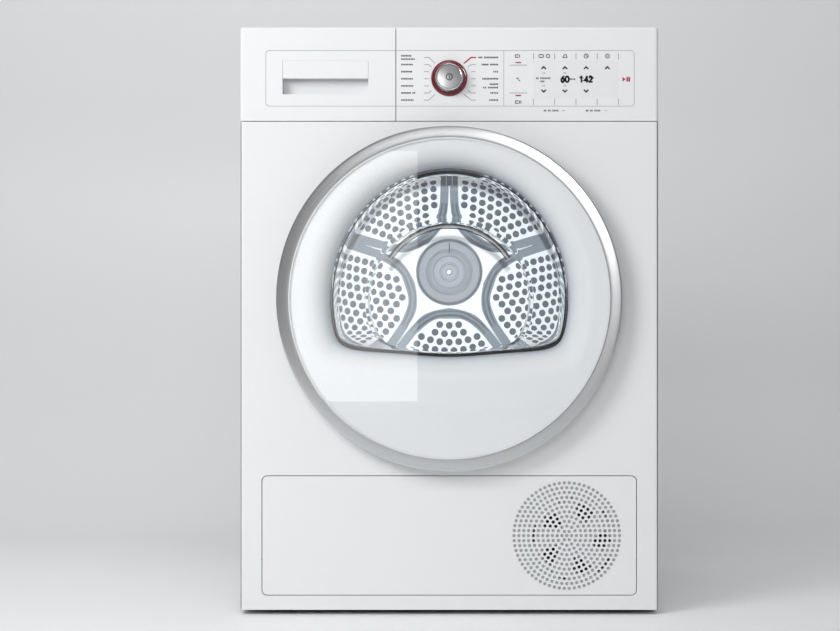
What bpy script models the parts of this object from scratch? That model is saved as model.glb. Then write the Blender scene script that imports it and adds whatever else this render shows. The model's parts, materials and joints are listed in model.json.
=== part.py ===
"""Heat-pump clothes dryer with a round glass door, built as separate sub-parts.

Metres, +Z up. The origin is on the floor, under the middle of the whole machine.
The front faces -Y. Every sub-part is one object in the collection "clothes_dryer".
"""
import math

import bmesh
import bpy
from mathutils import Matrix, Vector

# ---------------------------------------------------------------- overall sizes
CABINET_WIDTH = 0.598
CABINET_DEPTH = 0.590
TOTAL_HEIGHT = 0.840
FOOT_GAP = 0.007
DOOR_PROUD = 0.034
DUCT_PROUD = 0.012

# ---------------------------------------------------------------- sheet metal and seams
SHEET = 0.0012
SEAM = 0.001
GAP = 0.0003
EDGE_RADIUS = 0.005
PANEL_RETURN = 0.022
FASCIA_WALL = 0.003
TOP_PANEL_HEIGHT = 0.018
FLANGE_WIDTH = 0.016

# ---------------------------------------------------------------- control band
FASCIA_HEIGHT = 0.135
DRAWER_WIDTH = 0.2228
KNOB_Z_BELOW_TOP = 0.0734
KNOB_RADIUS = 0.0193
KNOB_PROUD = 0.021
KNOB_SHAFT_RADIUS = 0.006
BUTTON_RADIUS = 0.0169
BUTTON_THICKNESS = 0.0035
BUTTON_TRAVEL = 0.0015
LIGHT_RING_RADIUS = 0.026
DISPLAY_WIDTH = 0.1864
DISPLAY_HEIGHT = 0.0798
DISPLAY_THICKNESS = 0.0015
DISPLAY_FROM_KNOB = 0.0780
GRIP_WIDTH = 0.1226
GRIP_HEIGHT = 0.0263
RECESS_HEIGHT = 0.0225
RECESS_DEPTH = 0.026

# ---------------------------------------------------------------- door
DOOR_CENTRE_Z = 0.452
DOOR_RADIUS = 0.2447
RING_WIDTH = 0.0168
RING_THICKNESS = 0.006
PANE_THICKNESS = 0.003
DOOR_SHELL = 0.002
APERTURE_RADIUS = 0.212
PLUG_CLEARANCE = 0.009
PLUG_DEPTH = 0.030
FLANGE_BACK = 0.008
WINDOW_SIDE_BORDER = 0.032
WINDOW_TOP_BORDER = 0.0164
WINDOW_WIDEST = -0.0015
WINDOW_BOTTOM = -0.0845
WINDOW_DIP = 0.037
WINDOW_RIM_DEPTH = 0.005
BOWL_HALF_WIDTH = 0.117
BOWL_TOP = 0.110
BOWL_BOTTOM = -0.080
BOWL_DEPTH = 0.092
GLASS = 0.004
HINGE_INSET = 0.0114
HINGE_PROUD = 0.022
HINGE_KNUCKLE = 0.005
HINGE_PIN = 0.0032
DOOR_SEAL_WIDTH = 0.003
COLLAR_STEP = 0.0035
FILTER_HALF = 0.090

# ---------------------------------------------------------------- drum
DRUM_RADIUS = 0.278
DRUM_AXIS_Z = 0.496
DRUM_WALL = 0.0015
DRUM_LIP = 0.043
DRUM_FRONT = 0.079
DRUM_REAR_SPACE = 0.055
BULKHEAD_FRONT = 0.060
BULKHEAD_THICKNESS = 0.003
LIFTER_HEIGHT = 0.046
LIFTER_WIDTH = 0.070
HUB_RADIUS = 0.053
SHAFT_RADIUS = 0.0125
SPOKES = 5
DRUM_HOLE_RADIUS = 0.012

# ---------------------------------------------------------------- drive
BELT_BACK = 0.300
BELT_WIDTH = 0.010
BELT_THICKNESS = 0.0022
MOTOR_X = 0.150
MOTOR_Z = 0.125
MOTOR_RADIUS = 0.052
PULLEY_RADIUS = 0.014
BLOWER_RADIUS = 0.080
IDLER_RADIUS = 0.014
IDLER_FROM_MOTOR = 0.05717
IDLER_PUSH = 0.0007
IDLER_ARM_RUN = 0.050
IDLER_ARM_RISE = 0.002
ROLLER_RADIUS = 0.020
ROLLER_ANGLE = math.radians(30)

# ---------------------------------------------------------------- base compartment
FLAP_HALF_WIDTH = 0.267
FLAP_BOTTOM = 0.0285
FLAP_TOP = 0.198
FLAP_CORNER = 0.007
FLAP_WALL = 0.0025
FLAP_RIM = 0.010
GRILLE_X = 0.168
GRILLE_Z = 0.113
GRILLE_RADIUS = 0.0803
GRILLE_PITCH = 0.022
GRILLE_HOLE = 0.006
FAN_X = 0.178
FAN_Z = 0.108
FAN_RADIUS = 0.060
FAN_BLADES = 5
BLOCK_TOP = 0.188
BLOCK_RIGHT = -0.045
FOOT_RADIUS = 0.020
FOOT_INSET = 0.055

# ---------------------------------------------------------------- water container
TUB_LENGTH = 0.460
TUB_WALL = 0.002
TUB_TOP_BELOW = 0.024

# ---------------------------------------------------------------- derived places
TOTAL_DEPTH = DOOR_PROUD + CABINET_DEPTH + DUCT_PROUD
FRONT = DOOR_PROUD - TOTAL_DEPTH / 2
BACK = FRONT + CABINET_DEPTH
HALF = CABINET_WIDTH / 2
TOP = TOTAL_HEIGHT
SEAM_Z = TOP - FASCIA_HEIGHT
SPLIT_X = -HALF + DRAWER_WIDTH
KNOB_Z = TOP - KNOB_Z_BELOW_TOP
TRAY_TOP = 0.040
TRAY_FLOOR = 0.012
DRUM_BACK = BACK - DRUM_REAR_SPACE
DRUM_MOUTH = DRUM_RADIUS - DRUM_LIP
COLLAR_REAR_Z = DRUM_AXIS_Z - 0.013
COLLAR_REAR_RADIUS = DRUM_MOUTH - 0.0245
HINGE_X = DOOR_RADIUS - HINGE_INSET
PLUG_RADIUS = APERTURE_RADIUS - PLUG_CLEARANCE
WINDOW_HALF_WIDTH = PLUG_RADIUS - WINDOW_SIDE_BORDER
WINDOW_TOP = PLUG_RADIUS - WINDOW_TOP_BORDER
BELT_Y = FRONT + BELT_BACK
BIG_STEPS = 48
MID_STEPS = 24
SMALL_STEPS = 14
LOFT_POINTS = 36

# name: (colour, roughness, metallic)
FINISHES = {
    "white_enamel": ((0.86, 0.87, 0.87), 0.30, 0.0),
    "white_plastic": ((0.84, 0.85, 0.86), 0.38, 0.0),
    "grey_plastic": ((0.42, 0.44, 0.45), 0.45, 0.0),
    "dark_plastic": ((0.06, 0.06, 0.065), 0.50, 0.0),
    "black_rubber": ((0.025, 0.025, 0.025), 0.70, 0.0),
    "brushed_steel": ((0.62, 0.63, 0.64), 0.32, 1.0),
    "stainless": ((0.72, 0.73, 0.74), 0.25, 1.0),
    "zinc_steel": ((0.50, 0.51, 0.52), 0.45, 1.0),
    "chrome": ((0.80, 0.80, 0.81), 0.12, 1.0),
    "aluminium": ((0.70, 0.71, 0.72), 0.40, 1.0),
    "clear_glass": ((0.80, 0.85, 0.87), 0.04, 0.0),
    "display_glass": ((0.55, 0.57, 0.60), 0.15, 0.0),
    "red_light": ((0.80, 0.04, 0.03), 0.25, 0.0),
    "felt": ((0.55, 0.54, 0.51), 0.95, 0.0),
    "motor_paint": ((0.10, 0.10, 0.11), 0.55, 0.3),
}


# ---------------------------------------------------------------- scene helpers
def clear_scene():
    for old in list(bpy.data.objects):
        bpy.data.objects.remove(old, do_unlink=True)


def new_collection(name):
    collection = bpy.data.collections.new(name)
    bpy.context.scene.collection.children.link(collection)
    return collection


clear_scene()
PARTS = new_collection("clothes_dryer")
CUTTERS = new_collection("cutters")


def make_material(name, finish):
    colour, roughness, metallic = FINISHES[finish]
    material = bpy.data.materials.new(name + "_" + finish)
    material.use_nodes = True
    shader = material.node_tree.nodes["Principled BSDF"]
    shader.inputs["Base Color"].default_value = (*colour, 1.0)
    shader.inputs["Roughness"].default_value = roughness
    shader.inputs["Metallic"].default_value = metallic
    material.diffuse_color = (*colour, 1.0)
    return material


def pivot(name, location):
    empty = bpy.data.objects.new(name, None)
    empty.location = location
    empty.empty_display_size = 0.02
    PARTS.objects.link(empty)
    return empty


def centre_of(bm):
    lows = [min(v.co[i] for v in bm.verts) for i in range(3)]
    highs = [max(v.co[i] for v in bm.verts) for i in range(3)]
    return (Vector(lows) + Vector(highs)) / 2


def place(name, bm, finish=None, on=None):
    """Turn a bmesh in world coordinates into an object: a part, or a cutter with no finish."""
    origin = Vector(on.location) if on else centre_of(bm)
    bmesh.ops.translate(bm, verts=bm.verts, vec=-origin)
    mesh = bpy.data.meshes.new(name)
    bm.to_mesh(mesh)
    bm.free()
    piece = bpy.data.objects.new(name, mesh)
    if on:
        piece.parent = on
    else:
        piece.location = origin
    if finish:
        mesh.materials.append(make_material(name, finish))
        PARTS.objects.link(piece)
    else:
        CUTTERS.objects.link(piece)
        piece.hide_render = True
        piece.display_type = "WIRE"
    return piece


def smooth(piece, angle=35):
    piece.data.shade_smooth()
    piece.data.set_sharp_from_angle(angle=math.radians(angle))
    return piece


def combine(piece, other, operation):
    modifier = piece.modifiers.new(operation.lower() + "_" + other.name, "BOOLEAN")
    modifier.object = other
    modifier.operation = operation
    modifier.solver = "EXACT"
    return piece


def cut(piece, *cutters):
    for cutter in cutters:
        combine(piece, cutter, "DIFFERENCE")
    return piece


def join(piece, *additions):
    for addition in additions:
        combine(piece, addition, "UNION")
    return piece


def solidify(piece, thickness, offset=0.0):
    modifier = piece.modifiers.new("wall", "SOLIDIFY")
    modifier.thickness = thickness
    modifier.offset = offset
    modifier.use_even_offset = True
    return piece


# ---------------------------------------------------------------- shape helpers
def box_mesh(low, high):
    bm = bmesh.new()
    bmesh.ops.create_cube(bm, size=1.0)
    size = Vector(high) - Vector(low)
    bmesh.ops.scale(bm, verts=bm.verts, vec=size)
    bmesh.ops.translate(bm, verts=bm.verts, vec=(Vector(low) + Vector(high)) / 2)
    return bm


def round_edges(bm, chosen, radius, segments):
    edges = [e for e in bm.edges if chosen(*(v.co for v in e.verts))]
    bmesh.ops.bevel(bm, geom=edges, offset=radius, segments=segments, profile=0.5, affect="EDGES")


def box(name, low, high, finish=None, on=None, bevel=0.0):
    bm = box_mesh(low, high)
    if bevel:
        bmesh.ops.bevel(bm, geom=list(bm.edges), offset=bevel, segments=2, profile=0.5,
                        affect="EDGES")
    return place(name, bm, finish, on)


def rod(name, start, end, radius, finish=None, on=None, segments=SMALL_STEPS):
    start, end = Vector(start), Vector(end)
    direction = end - start
    turn = direction.to_track_quat("Z", "Y").to_matrix().to_4x4()
    bm = bmesh.new()
    bmesh.ops.create_cone(bm, cap_ends=True, segments=segments, radius1=radius, radius2=radius,
                          depth=direction.length,
                          matrix=Matrix.Translation((start + end) / 2) @ turn)
    return smooth(place(name, bm, finish, on))


def turned(name, profile, centre, axis, finish=None, on=None, steps=BIG_STEPS, closed=False):
    """Screw a profile of (radius, height) points about an axis through centre.

    The profile runs down the outer side, from the far end of the axis to its near end.
    """
    mesh = bpy.data.meshes.new(name)
    points = [(radius, 0.0, height) for radius, height in profile]
    edges = [(i, i + 1) for i in range(len(points) - 1)]
    if closed:
        edges.append((len(points) - 1, 0))
    mesh.from_pydata(points, edges, [])
    piece = bpy.data.objects.new(name, mesh)
    if axis == "Y":
        piece.rotation_euler = (-math.pi / 2, 0, 0)
    origin = Vector(centre)
    if on:
        piece.parent = on
        origin = origin - Vector(on.location)
    piece.location = origin
    screw = piece.modifiers.new("turn", "SCREW")
    screw.axis = "Z"
    screw.steps = steps
    screw.render_steps = steps
    screw.use_merge_vertices = True
    screw.merge_threshold = 0.00001
    if finish:
        mesh.materials.append(make_material(name, finish))
        PARTS.objects.link(piece)
    else:
        CUTTERS.objects.link(piece)
        piece.hide_render = True
        piece.display_type = "WIRE"
    return piece


def arc(centre, radius, first, last, count):
    """Points on an arc in a plane, angles in degrees."""
    angles = [math.radians(first + (last - first) * i / count) for i in range(count + 1)]
    return [(centre[0] + radius * math.cos(a), centre[1] + radius * math.sin(a)) for a in angles]


def circle(centre, radius, count=BIG_STEPS):
    return arc(centre, radius, 0, 360, count)[:-1]


def rounded_rectangle(low, high, radius, count=5):
    (x0, z0), (x1, z1) = low, high
    corners = [(x1 - radius, z1 - radius, 0), (x0 + radius, z1 - radius, 90),
               (x0 + radius, z0 + radius, 180), (x1 - radius, z0 + radius, 270)]
    points = []
    for x, z, start in corners:
        points += arc((x, z), radius, start, start + 90, count)
    return points


def plate(name, outlines, front, back, finish=None, on=None):
    """A flat plate in the XZ plane between two depths; outlines after the first are holes."""
    curve = bpy.data.curves.new(name, "CURVE")
    curve.dimensions = "2D"
    curve.fill_mode = "BOTH"
    curve.extrude = (back - front) / 2
    for outline in outlines:
        spline = curve.splines.new("POLY")
        spline.points.add(len(outline) - 1)
        for point, (x, z) in zip(spline.points, outline):
            point.co = (x, z, 0.0, 1.0)
        spline.use_cyclic_u = True
    drawing = bpy.data.objects.new(name + "_outline", curve)
    drawing.rotation_euler = (math.pi / 2, 0, 0)
    drawing.location = (0, (front + back) / 2, 0)
    CUTTERS.objects.link(drawing)
    bpy.context.view_layer.update()
    evaluated = drawing.evaluated_get(bpy.context.evaluated_depsgraph_get())
    mesh = bpy.data.meshes.new_from_object(evaluated)
    bm = bmesh.new()
    bm.from_mesh(mesh)
    bmesh.ops.transform(bm, matrix=drawing.matrix_world, verts=bm.verts)
    bmesh.ops.remove_doubles(bm, verts=bm.verts, dist=0.00001)
    bmesh.ops.recalc_face_normals(bm, faces=bm.faces)
    bpy.data.objects.remove(drawing)
    bpy.data.meshes.remove(mesh)
    return place(name, bm, finish, on)


def loft(name, sections, finish=None, on=None, first_cap=False, last_cap=False, ring=False):
    """Skin a list of equally long closed sections of world points."""
    bm = bmesh.new()
    rows = [[bm.verts.new(point) for point in section] for section in sections]
    pairs = list(zip(rows, rows[1:]))
    if ring:
        pairs.append((rows[-1], rows[0]))
    count = len(rows[0])
    for near, far in pairs:
        for i in range(count):
            j = (i + 1) % count
            bm.faces.new((near[i], near[j], far[j], far[i]))
    if first_cap:
        bm.faces.new(rows[0][::-1])
    if last_cap:
        bm.faces.new(rows[-1])
    bmesh.ops.recalc_face_normals(bm, faces=bm.faces)
    return smooth(place(name, bm, finish, on))


def prisms(name, spots, radius, front, back, sides=6):
    """One cutter of separate prisms along Y, at (x, z) spots."""
    bm = bmesh.new()
    turn = Matrix.Rotation(math.pi / 2, 4, "X")
    for x, z in spots:
        spot = Matrix.Translation((x, (front + back) / 2, z))
        bmesh.ops.create_cone(bm, cap_ends=True, segments=sides, radius1=radius, radius2=radius,
                              depth=back - front, matrix=spot @ turn)
    return place(name, bm)


# ---------------------------------------------------------------- cabinet shells
def build_base_tray():
    tray = box("base_tray", (-HALF + SHEET + GAP * 2, FRONT + PANEL_RETURN + 0.003, FOOT_GAP + 0.001),
               (HALF - SHEET - GAP * 2, BACK - 0.004, TRAY_TOP), "grey_plastic")
    wall = 0.004
    pocket = box("base_tray_pocket",
                 (-HALF + SHEET + wall, FRONT + PANEL_RETURN + 0.003 + wall, TRAY_FLOOR),
                 (HALF - SHEET - wall, BACK - 0.004 - wall, TRAY_TOP + 0.01))
    cut(tray, pocket)
    for name, x, y in foot_places():
        cut(tray, rod(name + "_bore", (x, y, 0), (x, y, 0.03), 0.0058))


def foot_places():
    x = HALF - FOOT_INSET
    front, rear = FRONT + FOOT_INSET, BACK - FOOT_INSET
    return [("foot_front_left", -x, front), ("foot_front_right", x, front),
            ("foot_rear_left", -x, rear), ("foot_rear_right", x, rear)]


def build_feet():
    stem = 0.005
    disc = FOOT_GAP - 0.001
    for name, x, y in foot_places():
        joint = pivot(name + "_axis", (x, y, 0))
        turned(name, [(0, 0.034), (stem, 0.034), (stem, disc), (FOOT_RADIUS * 0.8, disc),
                      (FOOT_RADIUS, disc * 0.6), (FOOT_RADIUS, 0), (0, 0)],
               (x, y, 0), "Z", "black_rubber", joint, SMALL_STEPS)


def build_side_panel(name, side):
    """A wall with flanges turned inwards at its front and rear edges."""
    low_y, high_y = FRONT + PANEL_RETURN + SEAM, BACK - SHEET - GAP
    low_z, high_z = FOOT_GAP + 0.001, TOP - TOP_PANEL_HEIGHT - GAP
    xs = sorted((side * HALF, side * (HALF - FLANGE_WIDTH)))
    panel = box(name, (xs[0], low_y, low_z), (xs[1], high_y, high_z), "white_enamel")
    inner = sorted((side * (HALF - SHEET), side * (HALF - FLANGE_WIDTH - 0.01)))
    cut(panel, box(name + "_hollow", (inner[0], low_y + SHEET, low_z - 0.01),
                   (inner[1], high_y - SHEET, high_z + 0.01)))


def build_top_panel():
    low = (-HALF, FRONT + PANEL_RETURN + SEAM * 0.6, TOP - TOP_PANEL_HEIGHT)
    bm = box_mesh(low, (HALF, BACK, TOP))
    round_edges(bm, lambda a, b: a.z > TOP - 0.001 and b.z > TOP - 0.001, 0.002, 3)
    panel = place("top_panel", bm, "white_enamel")
    wall = 0.002
    cut(panel, box("top_panel_hollow", (low[0] + wall, low[1] + wall, low[2] - 0.01),
                   (HALF - wall, BACK - wall, TOP - wall)))


def build_rear_panel():
    outline = [(-HALF, FOOT_GAP + 0.001), (HALF, FOOT_GAP + 0.001),
               (HALF, TOP - TOP_PANEL_HEIGHT - GAP), (-HALF, TOP - TOP_PANEL_HEIGHT - GAP)]
    plate("rear_panel", [outline, circle((0, DRUM_AXIS_Z), DRUM_RADIUS - 0.088)],
          BACK - SHEET, BACK, "zinc_steel")


def build_rear_duct_cover():
    rim = DRUM_RADIUS - 0.053
    wall = SHEET
    turned("rear_duct_cover",
           [(0, DUCT_PROUD), (rim - 0.030, DUCT_PROUD), (rim - 0.018, DUCT_PROUD * 0.25),
            (rim, wall + GAP), (rim, GAP), (rim - 0.020, GAP),
            (rim - 0.032, DUCT_PROUD - wall), (0, DUCT_PROUD - wall)],
           (0, BACK, DRUM_AXIS_Z), "Y", "zinc_steel")


def build_front_panel():
    low = (-HALF, FRONT, FOOT_GAP)
    high = (HALF, FRONT + PANEL_RETURN, SEAM_Z - SEAM / 2)
    bm = box_mesh(low, high)
    round_edges(bm, lambda a, b: max(a.y, b.y) < FRONT + 0.001 and abs(a.x - b.x) < 0.001,
                EDGE_RADIUS, 4)
    panel = place("front_panel", bm, "white_enamel")
    hollow = box("front_panel_hollow", (low[0] + SHEET, low[1] + SHEET, low[2] + SHEET),
                 (high[0] - SHEET, high[1] + 0.01, high[2] - SHEET))
    aperture = rod("aperture", (0, FRONT - 0.01, DOOR_CENTRE_Z), (0, FRONT + 0.01, DOOR_CENTRE_Z),
                   APERTURE_RADIUS, segments=BIG_STEPS)
    opening = plate("flap_opening",
                    [rounded_rectangle((-FLAP_HALF_WIDTH - SEAM, FLAP_BOTTOM - SEAM),
                                       (FLAP_HALF_WIDTH + SEAM, FLAP_TOP + SEAM),
                                       FLAP_CORNER + SEAM)],
                    FRONT - 0.01, FRONT + 0.01)
    slot = box("hook_slot", (hook_x() - 0.0045, FRONT - 0.01, DOOR_CENTRE_Z - 0.012),
               (hook_x() + 0.0045, FRONT + 0.01, DOOR_CENTRE_Z + 0.012))
    cut(panel, hollow, aperture, opening, slot)


def build_control_fascia():
    low = (SPLIT_X + SEAM / 2, FRONT, SEAM_Z + SEAM / 2)
    high = (HALF, FRONT + PANEL_RETURN, TOP)
    bm = box_mesh(low, high)
    round_edges(bm, lambda a, b: outer_corner_edge(a, b, high[0]), EDGE_RADIUS, 4)
    fascia = place("control_fascia", bm, "white_plastic")
    wall = FASCIA_WALL
    cut(fascia,
        box("fascia_hollow", (low[0] + wall, low[1] + wall, low[2] + wall),
            (high[0] - wall, high[1] + 0.01, high[2] - wall)),
        rod("knob_bore", (0, FRONT - 0.01, KNOB_Z), (0, FRONT + 0.01, KNOB_Z),
            KNOB_SHAFT_RADIUS + 0.001),
        plate("display_pocket", [display_outline(GAP)], FRONT - 0.01,
              FRONT + DISPLAY_THICKNESS + GAP * 2))


def outer_corner_edge(a, b, side_x):
    """Edges of the two front borders and the corner that meet at the upper outer corner."""
    at_side = abs(a.x - side_x) < 0.0001 and abs(b.x - side_x) < 0.0001
    at_top = a.z > TOP - 0.0001 and b.z > TOP - 0.0001
    at_front = max(a.y, b.y) < FRONT + 0.0001
    return (at_side and at_top) or (at_front and (at_side or at_top))


def display_outline(extra):
    half = DISPLAY_HEIGHT / 2 + extra
    return rounded_rectangle((DISPLAY_FROM_KNOB - extra, KNOB_Z - half),
                             (DISPLAY_FROM_KNOB + DISPLAY_WIDTH + extra, KNOB_Z + half), 0.004)


def build_display():
    plate("display_window", [display_outline(0)], FRONT + GAP / 2,
          FRONT + GAP / 2 + DISPLAY_THICKNESS, "display_glass")


# ---------------------------------------------------------------- knob and power button
def build_knob():
    turned("knob_light_ring",
           [(LIGHT_RING_RADIUS - 0.001, -GAP), (LIGHT_RING_RADIUS, -0.0015),
            (LIGHT_RING_RADIUS - 0.003, -0.0035), (KNOB_RADIUS + 0.0008, -0.0035),
            (KNOB_RADIUS + 0.0008, -GAP)],
           (0, FRONT, KNOB_Z), "Y", "red_light", None, MID_STEPS, closed=True)
    joint = pivot("knob_axis", (0, FRONT, KNOB_Z))
    rim = KNOB_RADIUS - 0.0005
    pocket = BUTTON_RADIUS + 0.0005
    floor = -KNOB_PROUD + BUTTON_THICKNESS + BUTTON_TRAVEL + 0.0015
    turned("program_knob",
           [(0, 0.020), (KNOB_SHAFT_RADIUS, 0.020), (KNOB_SHAFT_RADIUS, -0.001),
            (KNOB_RADIUS, -0.001), (rim, -KNOB_PROUD + 0.001), (rim - 0.0008, -KNOB_PROUD),
            (pocket, -KNOB_PROUD + 0.0005), (pocket, floor), (0, floor)],
           (0, FRONT, KNOB_Z), "Y", "chrome", joint, MID_STEPS)
    front = -KNOB_PROUD + 0.001
    turned("power_button",
           [(0, front + BUTTON_THICKNESS), (BUTTON_RADIUS, front + BUTTON_THICKNESS),
            (BUTTON_RADIUS, front + 0.0004), (BUTTON_RADIUS - 0.0006, front),
            (BUTTON_RADIUS * 0.6, front + 0.0009), (0, front + 0.0015)],
           (0, FRONT, KNOB_Z), "Y", "brushed_steel", joint, MID_STEPS)


# ---------------------------------------------------------------- water container
def tub_section(inset):
    """Outline that stays clear of the drum under it."""
    left, right = -HALF + FLANGE_WIDTH + 0.002 + inset, SPLIT_X - 0.010 - inset
    top = TOP - TUB_TOP_BELOW - inset
    low, step = SEAM_Z + 0.001 + inset, TOP - 0.062 + inset
    return [(left, top), (left, low), (left + 0.075 - inset, low), (right, step), (right, top)]


def build_container():
    joint = pivot("container_slide", (SPLIT_X - DRAWER_WIDTH / 2, FRONT, KNOB_Z))
    low = (-HALF, FRONT, SEAM_Z + SEAM / 2)
    high = (SPLIT_X - SEAM / 2, FRONT + PANEL_RETURN, TOP)
    bm = box_mesh(low, high)
    round_edges(bm, lambda a, b: outer_corner_edge(a, b, low[0]), EDGE_RADIUS, 4)
    front = place("container_front", bm, "white_plastic", joint)
    wall = FASCIA_WALL
    left = SPLIT_X - 0.0394 - GRIP_WIDTH
    right = left + GRIP_WIDTH
    grip_top = KNOB_Z + 0.0258
    recess_low = grip_top - GRIP_HEIGHT - RECESS_HEIGHT
    cup_wall = 0.002
    cut(front, box("container_front_hollow", (low[0] + wall, low[1] + wall, low[2] + wall),
                   (high[0] - wall, high[1] + 0.01, high[2] - wall)))
    join(front, box("recess_cup", (left - cup_wall, FRONT + 0.001, recess_low - cup_wall),
                    (right + cup_wall, FRONT + RECESS_DEPTH - 0.0045, grip_top + cup_wall)))
    cut(front, box("recess_hollow", (left, FRONT - 0.01, recess_low),
                   (right, FRONT + RECESS_DEPTH - 0.0045 - cup_wall, grip_top)))
    grip = box("container_grip", (left + GAP, FRONT, grip_top - GRIP_HEIGHT),
               (right - GAP, FRONT + 0.0035, grip_top - GAP), "white_plastic", joint)
    join(grip, box("grip_rib", (left + GAP, FRONT + 0.002, grip_top - 0.004),
                   (right - GAP, FRONT + RECESS_DEPTH - 0.0045 - cup_wall - GAP, grip_top - GAP)))
    start = FRONT + PANEL_RETURN + 0.0006
    tub = plate("container_tub", [tub_section(0)], start, start + TUB_LENGTH, "white_plastic", joint)
    hollow = plate("container_tub_hollow", [tub_section(TUB_WALL)], start + TUB_WALL,
                   start + TUB_LENGTH - TUB_WALL)
    left_edge = tub_section(0)[0][0]
    mouth = rod("container_mouth", (left_edge + 0.045, start + 0.06, TOP - TUB_TOP_BELOW - 0.01),
                (left_edge + 0.045, start + 0.06, TOP - TUB_TOP_BELOW + 0.01), 0.016)
    cut(tub, hollow, mouth)


# ---------------------------------------------------------------- door
def window_point(angle, grow, half_width=WINDOW_HALF_WIDTH, top=WINDOW_TOP, bottom=WINDOW_BOTTOM):
    """A point of the D outline at a polar angle about (0, WINDOW_WIDEST).

    Above it is half an ellipse; below, the ellipse meets a slightly bowed lower edge. The two
    distances are blended, which rounds the lower corners.
    """
    reach_x, reach_z = half_width + grow, top - WINDOW_WIDEST + grow
    c, s = math.cos(angle), math.sin(angle)
    ellipse = 1 / math.hypot(c / reach_x, s / reach_z)
    if s < -0.01:
        bow = 1 - 0.12 * (c * c)
        straight = (WINDOW_WIDEST - bottom + grow) * bow / -s
        sharpness = 10
        ellipse = (ellipse ** -sharpness + straight ** -sharpness) ** (-1 / sharpness)
    return ellipse * c, WINDOW_WIDEST + ellipse * s


def window_angles():
    return [math.tau * (i + 0.5) / LOFT_POINTS for i in range(LOFT_POINTS)]


def window_section(y, grow, **shape):
    points = [window_point(angle, grow, **shape) for angle in window_angles()]
    return [(x, y, DOOR_CENTRE_Z + z) for x, z in points]


def circle_section(y, radius, centre_z=DOOR_CENTRE_Z):
    points = []
    for angle in window_angles():
        points.append((radius * math.cos(angle), y, centre_z + radius * math.sin(angle)))
    return points


def between(first, second, share):
    return [tuple(Vector(a).lerp(Vector(b), share)) for a, b in zip(first, second)]


def build_door_front(joint):
    front = -DOOR_PROUD
    inner = DOOR_RADIUS - RING_WIDTH
    back = front + RING_THICKNESS
    turned("door_ring",
           [(DOOR_RADIUS - 0.001, back), (DOOR_RADIUS, back - 0.001), (DOOR_RADIUS, front + 0.003),
            (DOOR_RADIUS - 0.001, front + 0.002), (inner + 0.001, front),
            (inner, front + 0.001), (inner, back)],
           (0, FRONT, DOOR_CENTRE_Z), "Y", "brushed_steel", joint, BIG_STEPS, closed=True)
    pane = inner - GAP * 2
    turned("door_pane",
           [(0, front + 0.001 + PANE_THICKNESS), (pane, front + 0.001 + PANE_THICKNESS),
            (pane, front + 0.0015), (pane - 0.0005, front + 0.001), (0, front + 0.001)],
           (0, FRONT, DOOR_CENTRE_Z), "Y", "clear_glass", joint)


def build_door_bowl_panel(joint):
    """White panel behind the glass: flat at its border, dipping smoothly to the window."""
    flat = FRONT - DOOR_PROUD + 0.001 + PANE_THICKNESS + GAP + DOOR_SHELL / 2
    rim = FRONT + WINDOW_RIM_DEPTH
    sections = [circle_section(flat, DOOR_RADIUS - RING_WIDTH - 0.0015)]
    steps = 4
    for i in range(steps + 1):
        share = i / steps
        dip = 1 - math.sqrt(max(0.0, 1 - share ** 2)) if share < 1 else 1.0
        sections.append(window_section(flat + (rim - flat) * dip, WINDOW_DIP * (1 - share)))
    solidify(loft("door_bowl_panel", sections, "white_plastic", joint), DOOR_SHELL)


def build_door_window(joint):
    rim = FRONT + WINDOW_RIM_DEPTH + DOOR_SHELL / 2
    gasket_front, gasket_back = rim + GAP, rim + 0.0028
    gasket = [window_section(gasket_front, 0.009), window_section(gasket_front, -0.003),
              window_section(gasket_back, -0.003), window_section(gasket_back, 0.009)]
    loft("window_gasket", gasket, "black_rubber", joint, ring=True)
    flange = gasket_back + GAP * 3 + GLASS / 2
    end = FRONT + BOWL_DEPTH
    bowl = {"half_width": BOWL_HALF_WIDTH, "top": BOWL_TOP, "bottom": BOWL_BOTTOM}
    outer = window_section(flange, -0.004)
    inner = window_section(end, 0.006, **bowl)
    sections = [window_section(flange, 0.008), outer]
    for share in (0.15, 0.5, 0.85):
        ring = between(outer, inner, share)
        sections.append([(x, flange + (end - flange) * share ** 0.8, z) for x, y, z in ring])
    sections.append([(x, end - 0.003, z) for x, y, z in window_section(0, 0.002, **bowl)])
    sections.append(window_section(end, -0.008, **bowl))
    window = loft("door_window", sections, "clear_glass", joint, last_cap=True)
    solidify(window, GLASS)


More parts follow.
